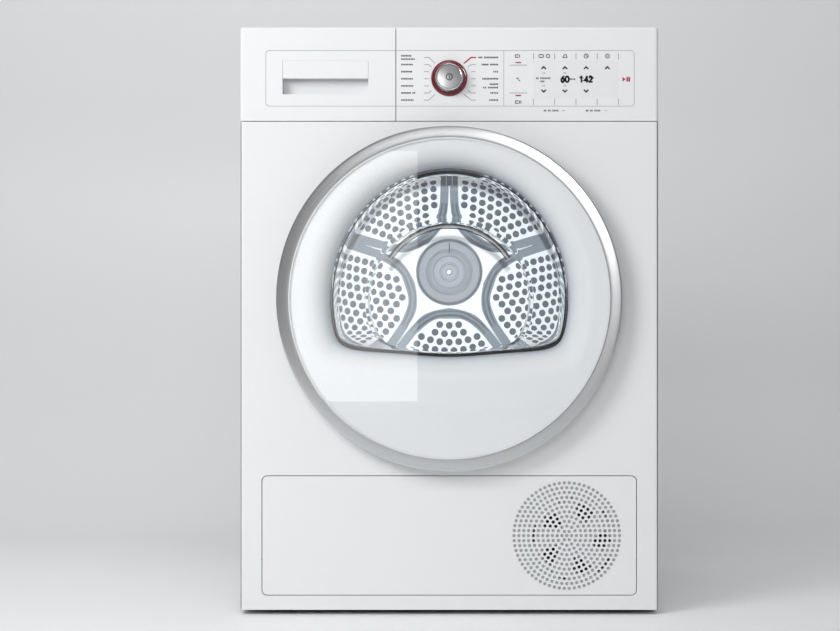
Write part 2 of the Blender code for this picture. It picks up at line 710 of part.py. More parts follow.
def build_door_back_frame(joint):
    """Rear shell of the door with its plug, its hinge knuckles and the bore for the pin."""
    skirt = APERTURE_RADIUS + 0.010
    back = FRONT - FLANGE_BACK
    plug_end = FRONT + PLUG_DEPTH
    clear = 0.0055
    sections = [circle_section(FRONT - 0.026, skirt), circle_section(back, skirt),
                circle_section(back, PLUG_RADIUS), circle_section(plug_end - 0.004, PLUG_RADIUS - 0.002),
                circle_section(plug_end, PLUG_RADIUS - 0.005),
                window_section(plug_end, clear), window_section(FRONT + 0.018, clear)]
    frame = solidify(loft("door_back_frame", sections, "white_plastic", joint), DOOR_SHELL)
    pin_y = FRONT - HINGE_PROUD
    cut(frame, box("hinge_pocket", (APERTURE_RADIUS + 0.0052, FRONT - 0.030, DOOR_CENTRE_Z - 0.040),
                   (HINGE_X + 0.02, FRONT + 0.002, DOOR_CENTRE_Z + 0.040)))
    for side in (-1, 1):
        zs = sorted((DOOR_CENTRE_Z + side * 0.024, DOOR_CENTRE_Z + side * 0.034))
        tag = "low" if side < 0 else "high"
        post = box("hinge_post_" + tag, (PLUG_RADIUS - 0.003, pin_y - 0.0025, zs[0]),
                   (APERTURE_RADIUS + 0.004, back, zs[1]))
        arm = box("hinge_arm_" + tag, (APERTURE_RADIUS, pin_y - 0.0025, zs[0] + 0.0002),
                  (HINGE_X, pin_y + 0.0025, zs[1] - 0.0002))
        knuckle = rod("hinge_knuckle_" + tag, (HINGE_X, pin_y, zs[0] + 0.0001),
                      (HINGE_X, pin_y, zs[1] - 0.0001), HINGE_KNUCKLE)
        join(frame, post, arm, knuckle)
    cut(frame, rod("door_pin_bore", (HINGE_X, pin_y, DOOR_CENTRE_Z - 0.05),
                   (HINGE_X, pin_y, DOOR_CENTRE_Z + 0.05), HINGE_PIN + 0.0006))


def hook_x():
    return -(APERTURE_RADIUS + 0.008)


def build_door_seal_and_hook(joint):
    inner = APERTURE_RADIUS + 0.0015
    outer = inner + DOOR_SEAL_WIDTH
    front = -FLANGE_BACK + DOOR_SHELL / 2 + GAP
    turned("door_seal", [(outer - 0.001, -GAP * 2), (outer, -0.002), (outer, front),
                         (inner, front), (inner, -0.002), (inner + 0.001, -GAP * 2)],
           (0, FRONT, DOOR_CENTRE_Z), "Y", "black_rubber", joint, BIG_STEPS, closed=True)
    x, z = hook_x(), DOOR_CENTRE_Z
    hook = box("door_hook", (x - 0.002, FRONT + front, z - 0.006),
               (x + 0.002, FRONT + 0.014, z + 0.006), "stainless", joint)
    cut(hook, box("hook_notch", (x - 0.001, FRONT + 0.005, z - 0.01),
                  (x + 0.01, FRONT + 0.009, z + 0.01)))


def build_hinge_bracket():
    """Cabinet side of the hinge: base plate, swan-neck arm and the fixed pin."""
    pin_y = FRONT - HINGE_PROUD
    left = APERTURE_RADIUS + 0.0070
    bracket = box("hinge_bracket", (left, FRONT - 0.0033, DOOR_CENTRE_Z - 0.035),
                  (HINGE_X, FRONT - GAP, DOOR_CENTRE_Z + 0.035), "zinc_steel")
    web = box("hinge_web", (left, pin_y + 0.004, DOOR_CENTRE_Z - 0.022),
              (left + 0.0042, FRONT - 0.002, DOOR_CENTRE_Z + 0.022))
    neck_points = [(HINGE_X, pin_y - 0.003), (HINGE_X, pin_y + 0.003),
                   (left + 0.0042, pin_y + 0.0085), (left + 0.0001, pin_y + 0.0085),
                   (left + 0.0001, pin_y + 0.003)]
    low = [(x, y, DOOR_CENTRE_Z - 0.0219) for x, y in neck_points]
    high = [(x, y, DOOR_CENTRE_Z + 0.0219) for x, y in neck_points]
    neck = loft("hinge_neck", [low, high], first_cap=True, last_cap=True)
    barrel = rod("hinge_barrel", (HINGE_X, pin_y, DOOR_CENTRE_Z - 0.0217),
                 (HINGE_X, pin_y, DOOR_CENTRE_Z + 0.0217), HINGE_KNUCKLE)
    pin = rod("hinge_pin_bar", (HINGE_X, pin_y, DOOR_CENTRE_Z - 0.037),
              (HINGE_X, pin_y, DOOR_CENTRE_Z + 0.037), HINGE_PIN)
    join(bracket, web, neck, barrel, pin)


def build_latch_catch():
    x, z = hook_x(), DOOR_CENTRE_Z
    catch = box("door_latch_catch", (x - 0.0075, FRONT + SHEET + GAP, z - 0.018),
                (x + 0.0075, FRONT + 0.022, z + 0.018), "dark_plastic")
    cut(catch, box("catch_slot", (x - 0.0045, FRONT - 0.01, z - 0.012),
                   (x + 0.0045, FRONT + 0.018, z + 0.012)))


# ---------------------------------------------------------------- loading passage
def build_bulkhead():
    front, back = FRONT + BULKHEAD_FRONT, FRONT + BULKHEAD_FRONT + BULKHEAD_THICKNESS
    side = HALF - SHEET - 0.006
    tub = tub_section(-0.004)
    outline = [(-side, FLAP_TOP + 0.004), (side, FLAP_TOP + 0.004), (side, TOP - 0.030),
               (tub[3][0], TOP - 0.030), tub[3], tub[2], (-side, tub[1][1])]
    bulkhead = plate("front_bulkhead",
                     [outline, circle((0, COLLAR_REAR_Z), COLLAR_REAR_RADIUS + 0.002)],
                     front, back, "zinc_steel")
    for name, (x, z) in roller_places():
        join(bulkhead, rod(name + "_axle", (x, back - 0.001, z), (x, back + 0.043, z), 0.004))


def roller_places():
    reach = DRUM_RADIUS + ROLLER_RADIUS + GAP * 2
    drop = DRUM_AXIS_Z - reach * math.cos(ROLLER_ANGLE)
    x = reach * math.sin(ROLLER_ANGLE)
    return [("support_roller_left", (-x, drop)), ("support_roller_right", (x, drop))]


def build_rollers():
    front = FRONT + DRUM_FRONT + 0.007
    for name, (x, z) in roller_places():
        joint = pivot(name + "_axis", (x, front, z))
        turned(name, [(ROLLER_RADIUS - 0.001, 0.018), (ROLLER_RADIUS, 0.017),
                      (ROLLER_RADIUS, 0.001), (ROLLER_RADIUS - 0.001, 0), (0.0045, 0), (0.0045, 0.018)],
               (x, front, z), "Y", "grey_plastic", joint, SMALL_STEPS, closed=True)


def collar_at(depth):
    """Centre height and radius of the loading passage at a depth behind the front."""
    start, end = PLUG_DEPTH + 0.003, BULKHEAD_FRONT - 0.001
    share = min(max((depth - start) / (end - start), 0.0), 1.0)
    front_radius = APERTURE_RADIUS - COLLAR_STEP
    return (DOOR_CENTRE_Z + share * (COLLAR_REAR_Z - DOOR_CENTRE_Z),
            front_radius + share * (COLLAR_REAR_RADIUS - front_radius))


def build_collar():
    depths = (SHEET + GAP, PLUG_DEPTH + 0.003, BULKHEAD_FRONT - 0.001, BULKHEAD_FRONT + 0.013)
    sections = []
    for depth in depths:
        centre, radius = collar_at(depth)
        sections.append(circle_section(FRONT + depth, radius, centre))
    collar = solidify(loft("loading_collar", sections, "white_plastic"), DOOR_SHELL)
    cut(collar, box("filter_slot", (-FILTER_HALF - 0.002, FRONT + PLUG_DEPTH + 0.0025,
                                    DOOR_CENTRE_Z - 0.25),
                    (FILTER_HALF + 0.002, FRONT + BULKHEAD_FRONT - 0.0025, DOOR_CENTRE_Z - 0.1)))


def build_lint_filter():
    """Cassette that drops into the bottom of the loading passage; its top follows the passage."""
    low = FLAP_TOP + 0.006
    start, end = PLUG_DEPTH + 0.004, BULKHEAD_FRONT - 0.004
    sections = []
    for depth in (start, end):
        centre, radius = collar_at(depth)
        reach = math.degrees(math.asin(FILTER_HALF / radius))
        top = arc((0, centre), radius, 270 + reach, 270 - reach, 10)
        outline = [(FILTER_HALF, low)] + top + [(-FILTER_HALF, low)]
        sections.append([(x, FRONT + depth, z) for x, z in outline])
    cassette = loft("lint_filter", sections, "grey_plastic", first_cap=True, last_cap=True)
    slots = []
    for side in (-1, 1):
        xs = sorted((side * 0.006, side * (FILTER_HALF - 0.008)))
        slots.append(box("filter_screen_" + ("left" if side < 0 else "right"),
                         (xs[0], FRONT + start + 0.003, low + 0.006),
                         (xs[1], FRONT + end - 0.003, DOOR_CENTRE_Z)))
    cut(cassette, *slots)


# ---------------------------------------------------------------- drum
def build_drum():
    joint = pivot("drum_axis", (0, FRONT + DRUM_FRONT, DRUM_AXIS_Z))
    length = DRUM_BACK - FRONT - DRUM_FRONT
    wall = DRUM_WALL
    turned("drum_shell",
           [(DRUM_RADIUS, length), (DRUM_RADIUS, 0.004), (DRUM_RADIUS - 0.004, 0),
            (DRUM_MOUTH, 0), (DRUM_MOUTH, wall), (DRUM_RADIUS - 0.004, wall),
            (DRUM_RADIUS - wall, 0.0045), (DRUM_RADIUS - wall, length)],
           (0, FRONT + DRUM_FRONT, DRUM_AXIS_Z), "Y", "stainless", joint, closed=True)
    back = DRUM_BACK - 0.006
    inside = DRUM_RADIUS - DRUM_WALL - GAP
    disc = turned("drum_back",
                  [(0, 0.003), (inside - 0.002, 0.003), (inside - 0.002, 0.006), (inside, 0.006),
                   (inside, 0), (0, 0)],
                  (0, back, DRUM_AXIS_Z), "Y", "white_enamel", joint)
    cut(disc, prisms("drum_back_holes", drum_hole_spots(), DRUM_HOLE_RADIUS, back - 0.01,
                     back + 0.01))
    turned("drum_hub_cap",
           [(0, -GAP), (HUB_RADIUS, -GAP), (HUB_RADIUS, -0.004), (HUB_RADIUS - 0.006, -0.009),
            (0, -0.011)],
           (0, back, DRUM_AXIS_Z), "Y", "brushed_steel", joint, MID_STEPS)
    turned("drum_shaft",
           [(0, 0.050), (SHAFT_RADIUS - 0.001, 0.050), (SHAFT_RADIUS, 0.049),
            (SHAFT_RADIUS, 0.010), (0.045, 0.007), (0.045, 0.003 + GAP), (0, 0.003 + GAP)],
           (0, back, DRUM_AXIS_Z), "Y", "zinc_steel", joint, MID_STEPS)
    for number in range(3):
        build_lifter("lifter_" + str(number + 1), math.radians(30 + 120 * number), joint)


def drum_hole_spots():
    """Five fields of holes between the spokes, on three arcs."""
    field = math.tau / SPOKES
    spots = []
    for radius, count, spread in ((0.48, 3, 0.46), (0.74, 4, 0.60)):
        reach = radius * DRUM_RADIUS
        for spoke in range(SPOKES):
            middle = math.pi / 2 + field * (spoke + 0.5)
            for i in range(count):
                angle = middle + field * spread * (i / (count - 1) - 0.5)
                spots.append((reach * math.cos(angle), DRUM_AXIS_Z + reach * math.sin(angle)))
    return spots


def build_lifter(name, angle, joint):
    """A ridge along the inside of the drum, narrower at its crest."""
    base = math.sqrt((DRUM_RADIUS - DRUM_WALL) ** 2 - (LIFTER_WIDTH / 2) ** 2) - 0.0012
    start, end = FRONT + DRUM_FRONT + 0.030, DRUM_BACK - 0.030
    bm = box_mesh((-LIFTER_WIDTH / 2, start, base - LIFTER_HEIGHT), (LIFTER_WIDTH / 2, end, base))
    for vertex in bm.verts:
        if vertex.co.z < base - LIFTER_HEIGHT / 2:
            vertex.co.x *= 0.36
            vertex.co.y += 0.030 if vertex.co.y < (start + end) / 2 else -0.030
    crest = base - LIFTER_HEIGHT / 2
    round_edges(bm, lambda a, b: min(a.z, b.z) < crest, 0.006, 2)
    bmesh.ops.rotate(bm, verts=bm.verts, matrix=Matrix.Rotation(angle, 3, "Y"))
    bmesh.ops.translate(bm, verts=bm.verts, vec=(0, 0, DRUM_AXIS_Z))
    smooth(place(name, bm, "grey_plastic", joint), 40)


def build_drum_seal():
    turned("drum_front_seal",
           [(DRUM_RADIUS - 0.010, DRUM_FRONT - GAP), (DRUM_RADIUS - 0.010, BULKHEAD_FRONT + 0.0033),
            (DRUM_MOUTH + 0.008, BULKHEAD_FRONT + 0.0033), (DRUM_MOUTH + 0.008, DRUM_FRONT - GAP)],
           (0, FRONT, DRUM_AXIS_Z), "Y", "felt", None, BIG_STEPS, closed=True)


def build_rear_bearing():
    """Cross bar behind the drum that carries its shaft."""
    front, back = DRUM_BACK + 0.024, DRUM_BACK + 0.030
    bar = box("rear_bearing_bracket", (-HALF + 0.020, front, DRUM_AXIS_Z - 0.022),
              (HALF - 0.020, back, DRUM_AXIS_Z + 0.022), "zinc_steel")
    join(bar, rod("bearing_boss", (0, front - 0.006, DRUM_AXIS_Z), (0, back + 0.008, DRUM_AXIS_Z),
                  0.030, segments=MID_STEPS))
    cut(bar, rod("bearing_bore", (0, front - 0.02, DRUM_AXIS_Z), (0, back + 0.02, DRUM_AXIS_Z),
                 SHAFT_RADIUS + 0.0004, segments=MID_STEPS))


# ---------------------------------------------------------------- belt drive
def run_normal(a, ra, b, rb):
    """Unit normal, towards the wheels, of the straight belt run from wheel a to wheel b."""
    along = (b - a).normalized()
    left = Vector((-along.y, along.x))
    s = (rb - ra) / (b - a).length
    return s * along + math.sqrt(1 - s * s) * left


def belt_wheels():
    """Centre and signed belt-side radius of each wheel; a wheel outside the loop is negative.

    The idler stands outside the straight run from drum to motor and pushes it in a little.
    """
    drum, drum_reach = Vector((0, DRUM_AXIS_Z)), DRUM_RADIUS + GAP
    motor, motor_reach = Vector((MOTOR_X, MOTOR_Z)), PULLEY_RADIUS + GAP
    behind_belt = IDLER_RADIUS + BELT_THICKNESS + GAP * 4
    normal = run_normal(drum, drum_reach, motor, motor_reach)
    run = Vector((normal.y, -normal.x))
    idler = motor - normal * (motor_reach + behind_belt - IDLER_PUSH) - run * IDLER_FROM_MOTOR
    return [(drum, drum_reach), (idler, -behind_belt), (motor, motor_reach)]


def belt_loop(shift):
    """Closed belt outline, moved out from the wheels' side by shift."""
    wheels = [(centre, radius + shift) for centre, radius in belt_wheels()]
    leaves, arrives = [], []
    for (a, ra), (b, rb) in zip(wheels, wheels[1:] + wheels[:1]):
        normal = run_normal(a, ra, b, rb)
        leaves.append(a - ra * normal)
        arrives.append(b - rb * normal)
    points = []
    for i, (centre, radius) in enumerate(wheels):
        first, last = arrives[i - 1] - centre, leaves[i] - centre
        start = math.atan2(first.y, first.x)
        sweep = math.atan2(last.y, last.x) - start
        if radius > 0:
            sweep %= math.tau
        else:
            sweep = -((-sweep) % math.tau)
        count = BIG_STEPS if i == 0 else 6
        for k in range(count + 1):
            angle = start + sweep * k / count
            points.append((centre.x + abs(radius) * math.cos(angle),
                           centre.y + abs(radius) * math.sin(angle)))
    return points


def build_belt():
    outer, inner = belt_loop(BELT_THICKNESS + 0.0005), belt_loop(0.0005)
    sections = []
    for loop, y in ((outer, -1), (outer, 1), (inner, 1), (inner, -1)):
        sections.append([(x, BELT_Y + y * BELT_WIDTH / 2, z) for x, z in loop])
    loft("drum_belt", sections, "black_rubber", ring=True)


def build_motor():
    front, back = BELT_Y + 0.020, BELT_Y + 0.120
    housing = turned("motor_housing",
                     [(0, back), (MOTOR_RADIUS - 0.006, back), (MOTOR_RADIUS, back - 0.006),
                      (MOTOR_RADIUS, front + 0.006), (MOTOR_RADIUS - 0.006, front), (0, front)],
                     (MOTOR_X, 0, MOTOR_Z), "Y", "motor_paint", None, MID_STEPS)
    join(housing, box("motor_foot", (MOTOR_X - 0.045, front + 0.012, TRAY_FLOOR + GAP),
                      (MOTOR_X + 0.045, back - 0.012, MOTOR_Z - 0.030)))
    cut(housing, rod("motor_bore", (MOTOR_X, front - 0.02, MOTOR_Z), (MOTOR_X, back + 0.02, MOTOR_Z),
                     0.0066))
    joint = pivot("motor_axis", (MOTOR_X, BELT_Y, MOTOR_Z))
    wheel = BLOWER_RADIUS - 0.018
    side = PULLEY_RADIUS + 0.003
    end = 0.200
    turned("motor_rotor",
           [(0, end), (0.008, end), (0.008, end - 0.004), (wheel, end - 0.010),
            (wheel, end - 0.045), (0.010, end - 0.050), (0.006, end - 0.050), (0.006, 0.012),
            (side, 0.010), (side, 0.0075), (PULLEY_RADIUS, 0.0065), (PULLEY_RADIUS, -0.0065),
            (side, -0.0075), (side, -0.010), (0, -0.010)],
           (MOTOR_X, BELT_Y, MOTOR_Z), "Y", "aluminium", joint, SMALL_STEPS)
    wall = 0.002
    near, far = 0.142, 0.214
    turned("blower_housing",
           [(0.030, far), (BLOWER_RADIUS, far), (BLOWER_RADIUS, near), (0.009, near),
            (0.009, near + wall), (BLOWER_RADIUS - wall, near + wall),
            (BLOWER_RADIUS - wall, far - wall), (0.030, far - wall)],
           (MOTOR_X, BELT_Y, MOTOR_Z), "Y", "grey_plastic", None, MID_STEPS, closed=True)


def build_idler():
    x, z = belt_wheels()[1][0]
    pivot_x, pivot_z = x - IDLER_ARM_RUN, z + IDLER_ARM_RISE
    arm_joint = pivot("idler_arm_axis", (pivot_x, BELT_Y, pivot_z))
    wheel_joint = pivot("idler_axis", (x, BELT_Y, z))
    turn = math.degrees(math.atan2(-IDLER_ARM_RISE, IDLER_ARM_RUN))
    outline = arc((x, z), 0.008, turn - 90, turn + 90, 6)
    outline += arc((pivot_x, pivot_z), 0.010, turn + 90, turn + 270, 6)
    front = BELT_Y + 0.010
    arm = plate("idler_arm", [outline], front, front + 0.004, "zinc_steel", arm_joint)
    join(arm, rod("idler_pin", (x, BELT_Y - 0.009, z), (x, front + 0.002, z), 0.004),
         rod("idler_boss", (pivot_x, front + 0.003, pivot_z), (pivot_x, front + 0.020, pivot_z), 0.007))
    turned("idler_wheel", [(IDLER_RADIUS, 0.0065), (IDLER_RADIUS, -0.0065), (0.0045, -0.0065),
                           (0.0045, 0.0065)],
           (x, BELT_Y, z), "Y", "grey_plastic", wheel_joint, SMALL_STEPS, closed=True)


# ---------------------------------------------------------------- heat pump in the base
def build_heat_pump():
    left = -HALF + 0.037
    start = FRONT + 0.062
    depths = {"evaporator_coil": (start, start + 0.110), "condenser_coil": (start + 0.120, start + 0.300)}
    low_z = TRAY_FLOOR + GAP
    for name, (front, back) in depths.items():
        block = box(name, (left, front, low_z), (BLOCK_RIGHT, back, BLOCK_TOP), "aluminium")
        fins = 9
        pitch = (BLOCK_RIGHT - left) / fins
        for i in range(1, fins):
            x = left + i * pitch
            cut(block, box(name + "_fin_gap_" + str(i), (x - 0.003, front - 0.01, low_z + 0.02),
                           (x + 0.003, front + 0.040, BLOCK_TOP + 0.01)))
    x, y = -HALF + 0.120, BACK - 0.120
    radius = 0.068
    top = BLOCK_TOP + 0.010
    turned("compressor",
           [(0, top), (radius * 0.5, top - 0.004), (radius * 0.85, top - 0.018),
            (radius, top - 0.040), (radius, 0.050), (radius * 0.9, 0.034), (radius * 1.15, 0.030),
            (radius * 1.15, low_z), (0, low_z)],
           (x, y, 0), "Z", "motor_paint", None, MID_STEPS)


def build_exchanger_cover():
    front = FRONT + 0.040
    left, right = -HALF + 0.037, 0.062
    low, high = TRAY_TOP + 0.002, FLAP_TOP - 0.004
    plate("exchanger_cover", [rounded_rectangle((left, low), (right, high), 0.010)],
          front, front + 0.008, "grey_plastic")
    middle = (low + high) / 2
    for name, x, in (("cover_lever_left", left + 0.022), ("cover_lever_right", right - 0.022)):
        joint = pivot(name + "_axis", (x, front, middle))
        length = 0.055
        outline = arc((x, middle - length), 0.006, 180, 360, 6) + arc((x, middle), 0.010, 0, 180, 6)
        plate(name, [outline], front - 0.0085, front - GAP, "dark_plastic", joint)


# ---------------------------------------------------------------- service flap and cooling fan
def build_flap():
    joint = pivot("flap_axis", (0, FRONT + 0.001, FLAP_BOTTOM + 0.005))
    outline = rounded_rectangle((-FLAP_HALF_WIDTH, FLAP_BOTTOM), (FLAP_HALF_WIDTH, FLAP_TOP),
                                FLAP_CORNER)
    flap = plate("service_flap", [outline], FRONT, FRONT + FLAP_RIM, "white_plastic", joint)
    hollow = plate("flap_hollow",
                   [rounded_rectangle((-FLAP_HALF_WIDTH + FLAP_WALL, FLAP_BOTTOM - 0.02),
                                      (FLAP_HALF_WIDTH - FLAP_WALL, FLAP_TOP - FLAP_WALL), 0.005)],
                   FRONT + FLAP_WALL, FRONT + 0.03)
    mouth = rod("grille_bore", (GRILLE_X, FRONT - 0.01, GRILLE_Z), (GRILLE_X, FRONT + 0.02, GRILLE_Z),
                GRILLE_RADIUS + 0.0004, segments=MID_STEPS)
    lower_rims = box("flap_lower_rims", (-HALF, FRONT + FLAP_WALL, FLAP_BOTTOM - 0.02),
                     (HALF, FRONT + 0.03, FLAP_BOTTOM + 0.014))
    cut(flap, hollow, mouth, lower_rims)
    grille = turned("vent_grille",
                    [(0, FLAP_WALL + 0.0018), (GRILLE_RADIUS - 0.004, FLAP_WALL + 0.0018),
                     (GRILLE_RADIUS - 0.004, 0.002), (GRILLE_RADIUS, 0.002), (GRILLE_RADIUS, 0),
                     (0, 0)],
                    (GRILLE_X, FRONT, GRILLE_Z), "Y", "white_plastic", joint, MID_STEPS)
    cut(grille, box("grille_back", (GRILLE_X - 0.06, FRONT + 0.0022, GRILLE_Z - 0.05),
                    (GRILLE_X + 0.06, FRONT + 0.02, GRILLE_Z + 0.05)),
        prisms("grille_holes", grille_spots(), GRILLE_HOLE, FRONT - 0.01, FRONT + 0.01))


def grille_spots():
    """One hole in the middle and rings of six more each."""
    spots = [(GRILLE_X, GRILLE_Z)]
    for ring in range(1, 3):
        for i in range(6 * ring):
            angle = math.tau * i / (6 * ring)
            reach = GRILLE_PITCH * ring
            spots.append((GRILLE_X + reach * math.cos(angle), GRILLE_Z + reach * math.sin(angle)))
    return spots


def build_fan():
    front, back = 0.030, 0.058
    outer = FAN_RADIUS + 0.012
    shroud = turned("fan_shroud",
                    [(outer, back), (outer, front + 0.004), (outer - 0.002, front),
                     (FAN_RADIUS + 0.003, front + 0.006), (FAN_RADIUS + 0.003, back)],
                    (FAN_X, FRONT, FAN_Z), "Y", "grey_plastic", None, MID_STEPS, closed=True)
    reach = FAN_RADIUS + 0.007
    for i in range(3):
        angle = math.radians(90 + 120 * i)
        bm = box_mesh((0, FRONT + back - 0.004, -0.003), (reach, FRONT + back - 0.0005, 0.003))
        bmesh.ops.rotate(bm, verts=bm.verts, matrix=Matrix.Rotation(-angle, 3, "Y"))
        bmesh.ops.translate(bm, verts=bm.verts, vec=(FAN_X, 0, FAN_Z))
        join(shroud, place("fan_strut_" + str(i), bm))
    join(shroud, rod("fan_motor", (FAN_X, FRONT + back - 0.006, FAN_Z), (FAN_X, FRONT + back + 0.010, FAN_Z),
                     0.020))
    joint = pivot("fan_axis", (FAN_X, FRONT + 0.034, FAN_Z))
    hub = 0.017
    rotor = turned("fan_rotor",
                   [(0, 0.016), (hub, 0.016), (hub, 0.002), (hub - 0.003, 0), (0, -0.001)],
                   (FAN_X, FRONT + 0.034, FAN_Z), "Y", "dark_plastic", joint, SMALL_STEPS)
    for i in range(FAN_BLADES):
        bm = box_mesh((hub - 0.004, -0.0009, -0.014), (FAN_RADIUS, 0.0009, 0.014))
        bmesh.ops.rotate(bm, verts=bm.verts, matrix=Matrix.Rotation(math.radians(24), 3, "X"))
        bmesh.ops.rotate(bm, verts=bm.verts,
                         matrix=Matrix.Rotation(math.tau * (i + 0.2) / FAN_BLADES, 3, "Y"))
        bmesh.ops.translate(bm, verts=bm.verts, vec=(FAN_X, FRONT + 0.0425, FAN_Z))
        join(rotor, place("fan_blade_" + str(i), bm))


def build_cable_inlet():
    x, z = HALF - 0.070, TOP - 0.060
    inlet = box("cable_inlet", (x - 0.025, BACK + GAP, z - 0.016), (x + 0.025, BACK + 0.005, z + 0.016),
                "dark_plastic")
    join(inlet, rod("cable_gland", (x, BACK + 0.002, z), (x, BACK + 0.011, z), 0.009))
    cut(inlet, rod("gland_bore", (x, BACK + 0.003, z), (x, BACK + 0.02, z), 0.0045))


# ---------------------------------------------------------------- assembly
def build_door():
    joint = pivot("door_axis", (HINGE_X, FRONT - HINGE_PROUD, DOOR_CENTRE_Z))
    build_door_front(joint)
    build_door_bowl_panel(joint)
    build_door_window(joint)
    build_door_back_frame(joint)
    build_door_seal_and_hook(joint)


def build_dryer():
    build_base_tray()
    build_feet()
    build_side_panel("side_panel_left", -1)
    build_side_panel("side_panel_right", 1)
    build_top_panel()
    build_rear_panel()
    build_rear_duct_cover()
    build_front_panel()
    build_control_fascia()
    build_display()
    build_knob()
    build_container()
    build_door()
    build_hinge_bracket()
    build_latch_catch()
    build_bulkhead()
    build_rollers()
    build_collar()
    build_lint_filter()
    build_drum()
    build_drum_seal()
    build_rear_bearing()
    build_belt()
    build_motor()
    build_idler()
    build_heat_pump()
    build_exchanger_cover()
    build_flap()
    build_fan()
    build_cable_inlet()


build_dryer()
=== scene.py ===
"""Looks of a clothes dryer with a round glass door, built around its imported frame.

Every operator below makes one piece or one group of like pieces. Pieces take their places from
the frame's nodes, so nothing here moves or resizes a part.
"""
import json
import math

import bmesh
import bpy
from mathutils import Matrix, Vector

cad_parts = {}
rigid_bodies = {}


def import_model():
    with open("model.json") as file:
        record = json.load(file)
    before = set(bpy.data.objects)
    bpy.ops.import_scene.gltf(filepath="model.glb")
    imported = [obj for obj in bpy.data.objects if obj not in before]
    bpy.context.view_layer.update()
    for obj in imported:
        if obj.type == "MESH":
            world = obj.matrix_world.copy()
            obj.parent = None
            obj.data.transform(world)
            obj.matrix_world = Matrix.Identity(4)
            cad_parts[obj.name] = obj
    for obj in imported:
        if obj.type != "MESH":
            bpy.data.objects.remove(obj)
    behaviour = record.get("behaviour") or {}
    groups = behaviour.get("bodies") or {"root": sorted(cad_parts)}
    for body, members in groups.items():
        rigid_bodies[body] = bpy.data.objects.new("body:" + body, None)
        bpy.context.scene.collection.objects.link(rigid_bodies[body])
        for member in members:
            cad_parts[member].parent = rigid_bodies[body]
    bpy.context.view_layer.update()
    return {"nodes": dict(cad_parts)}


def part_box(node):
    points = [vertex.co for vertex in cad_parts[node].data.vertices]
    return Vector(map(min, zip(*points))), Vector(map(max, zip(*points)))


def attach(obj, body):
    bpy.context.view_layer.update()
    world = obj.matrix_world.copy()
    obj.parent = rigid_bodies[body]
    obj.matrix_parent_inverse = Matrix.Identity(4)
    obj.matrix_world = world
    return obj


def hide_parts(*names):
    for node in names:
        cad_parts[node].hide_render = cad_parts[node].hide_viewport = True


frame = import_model()

bl_info = {
    "name": "Clothes dryer looks",
    "version": (1, 0, 0),
    "blender": (4, 5, 0),
    "location": "View3D > Sidebar > Dryer",
    "description": "Builds the visible pieces of a clothes dryer around its frame",
    "category": "Object",
}


# ---------------------------------------------------------------- places read from the frame
def span(node):
    low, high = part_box(node)
    return low, high


def middle(node):
    low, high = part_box(node)
    return (low + high) / 2


FRONT = span("front_panel")[0].y
SEAM_Z = (span("front_panel")[1].z + span("control_fascia")[0].z) / 2
KNOB = middle("knob_light_ring")
DOOR = middle("door_ring")
DOOR_RADIUS = (span("door_ring")[1].x - span("door_ring")[0].x) / 2
PANE_RADIUS = (span("door_pane")[1].x - span("door_pane")[0].x) / 2
DRUM = middle("drum_shell")
DRUM_RADIUS = (span("drum_shell")[1].x - span("drum_shell")[0].x) / 2
BACK_WALL = span("drum_back")[0].y
GRILLE = middle("vent_grille")
GRILLE_RADIUS = (span("vent_grille")[1].x - span("vent_grille")[0].x) / 2
FAN = middle("fan_shroud")


# ---------------------------------------------------------------- what a user may change
class DryerSizes(bpy.types.PropertyGroup):
    edge: bpy.props.FloatProperty(
        name="Edge radius", description="Rounding of moulded and pressed edges",
        default=0.0007, unit="LENGTH")
    panel_radius: bpy.props.FloatProperty(
        name="Panel radius", description="Rounding of the cabinet's front borders",
        default=0.005, unit="LENGTH")
    line: bpy.props.FloatProperty(
        name="Printed line", description="Width of the finest printed lines",
        default=0.0007, unit="LENGTH")
    print_depth: bpy.props.FloatProperty(
        name="Print depth", description="How far printed marks stand on the panel",
        default=0.00012, unit="LENGTH")
    grille_pitch: bpy.props.FloatProperty(
        name="Grille ring spacing", description="Distance between the rings of vent holes",
        default=0.00686, unit="LENGTH")
    grille_hole: bpy.props.FloatProperty(
        name="Grille hole radius", description="Radius of a vent hole",
        default=0.0024, unit="LENGTH")
    grille_rings: bpy.props.IntProperty(
        name="Grille rings", description="Rings of vent holes round the middle one", default=11)
    drum_hole: bpy.props.FloatProperty(
        name="Drum hole radius", description="Radius of a hole in the drum's back wall",
        default=0.0058, unit="LENGTH")
    drum_pitch: bpy.props.FloatProperty(
        name="Drum hole pitch", description="Distance between neighbouring holes",
        default=0.0160, unit="LENGTH")


def colour_property(name, description, value):
    return bpy.props.FloatVectorProperty(name=name, description=description, default=value,
                                         subtype="COLOR", size=3, min=0.0, max=1.0)


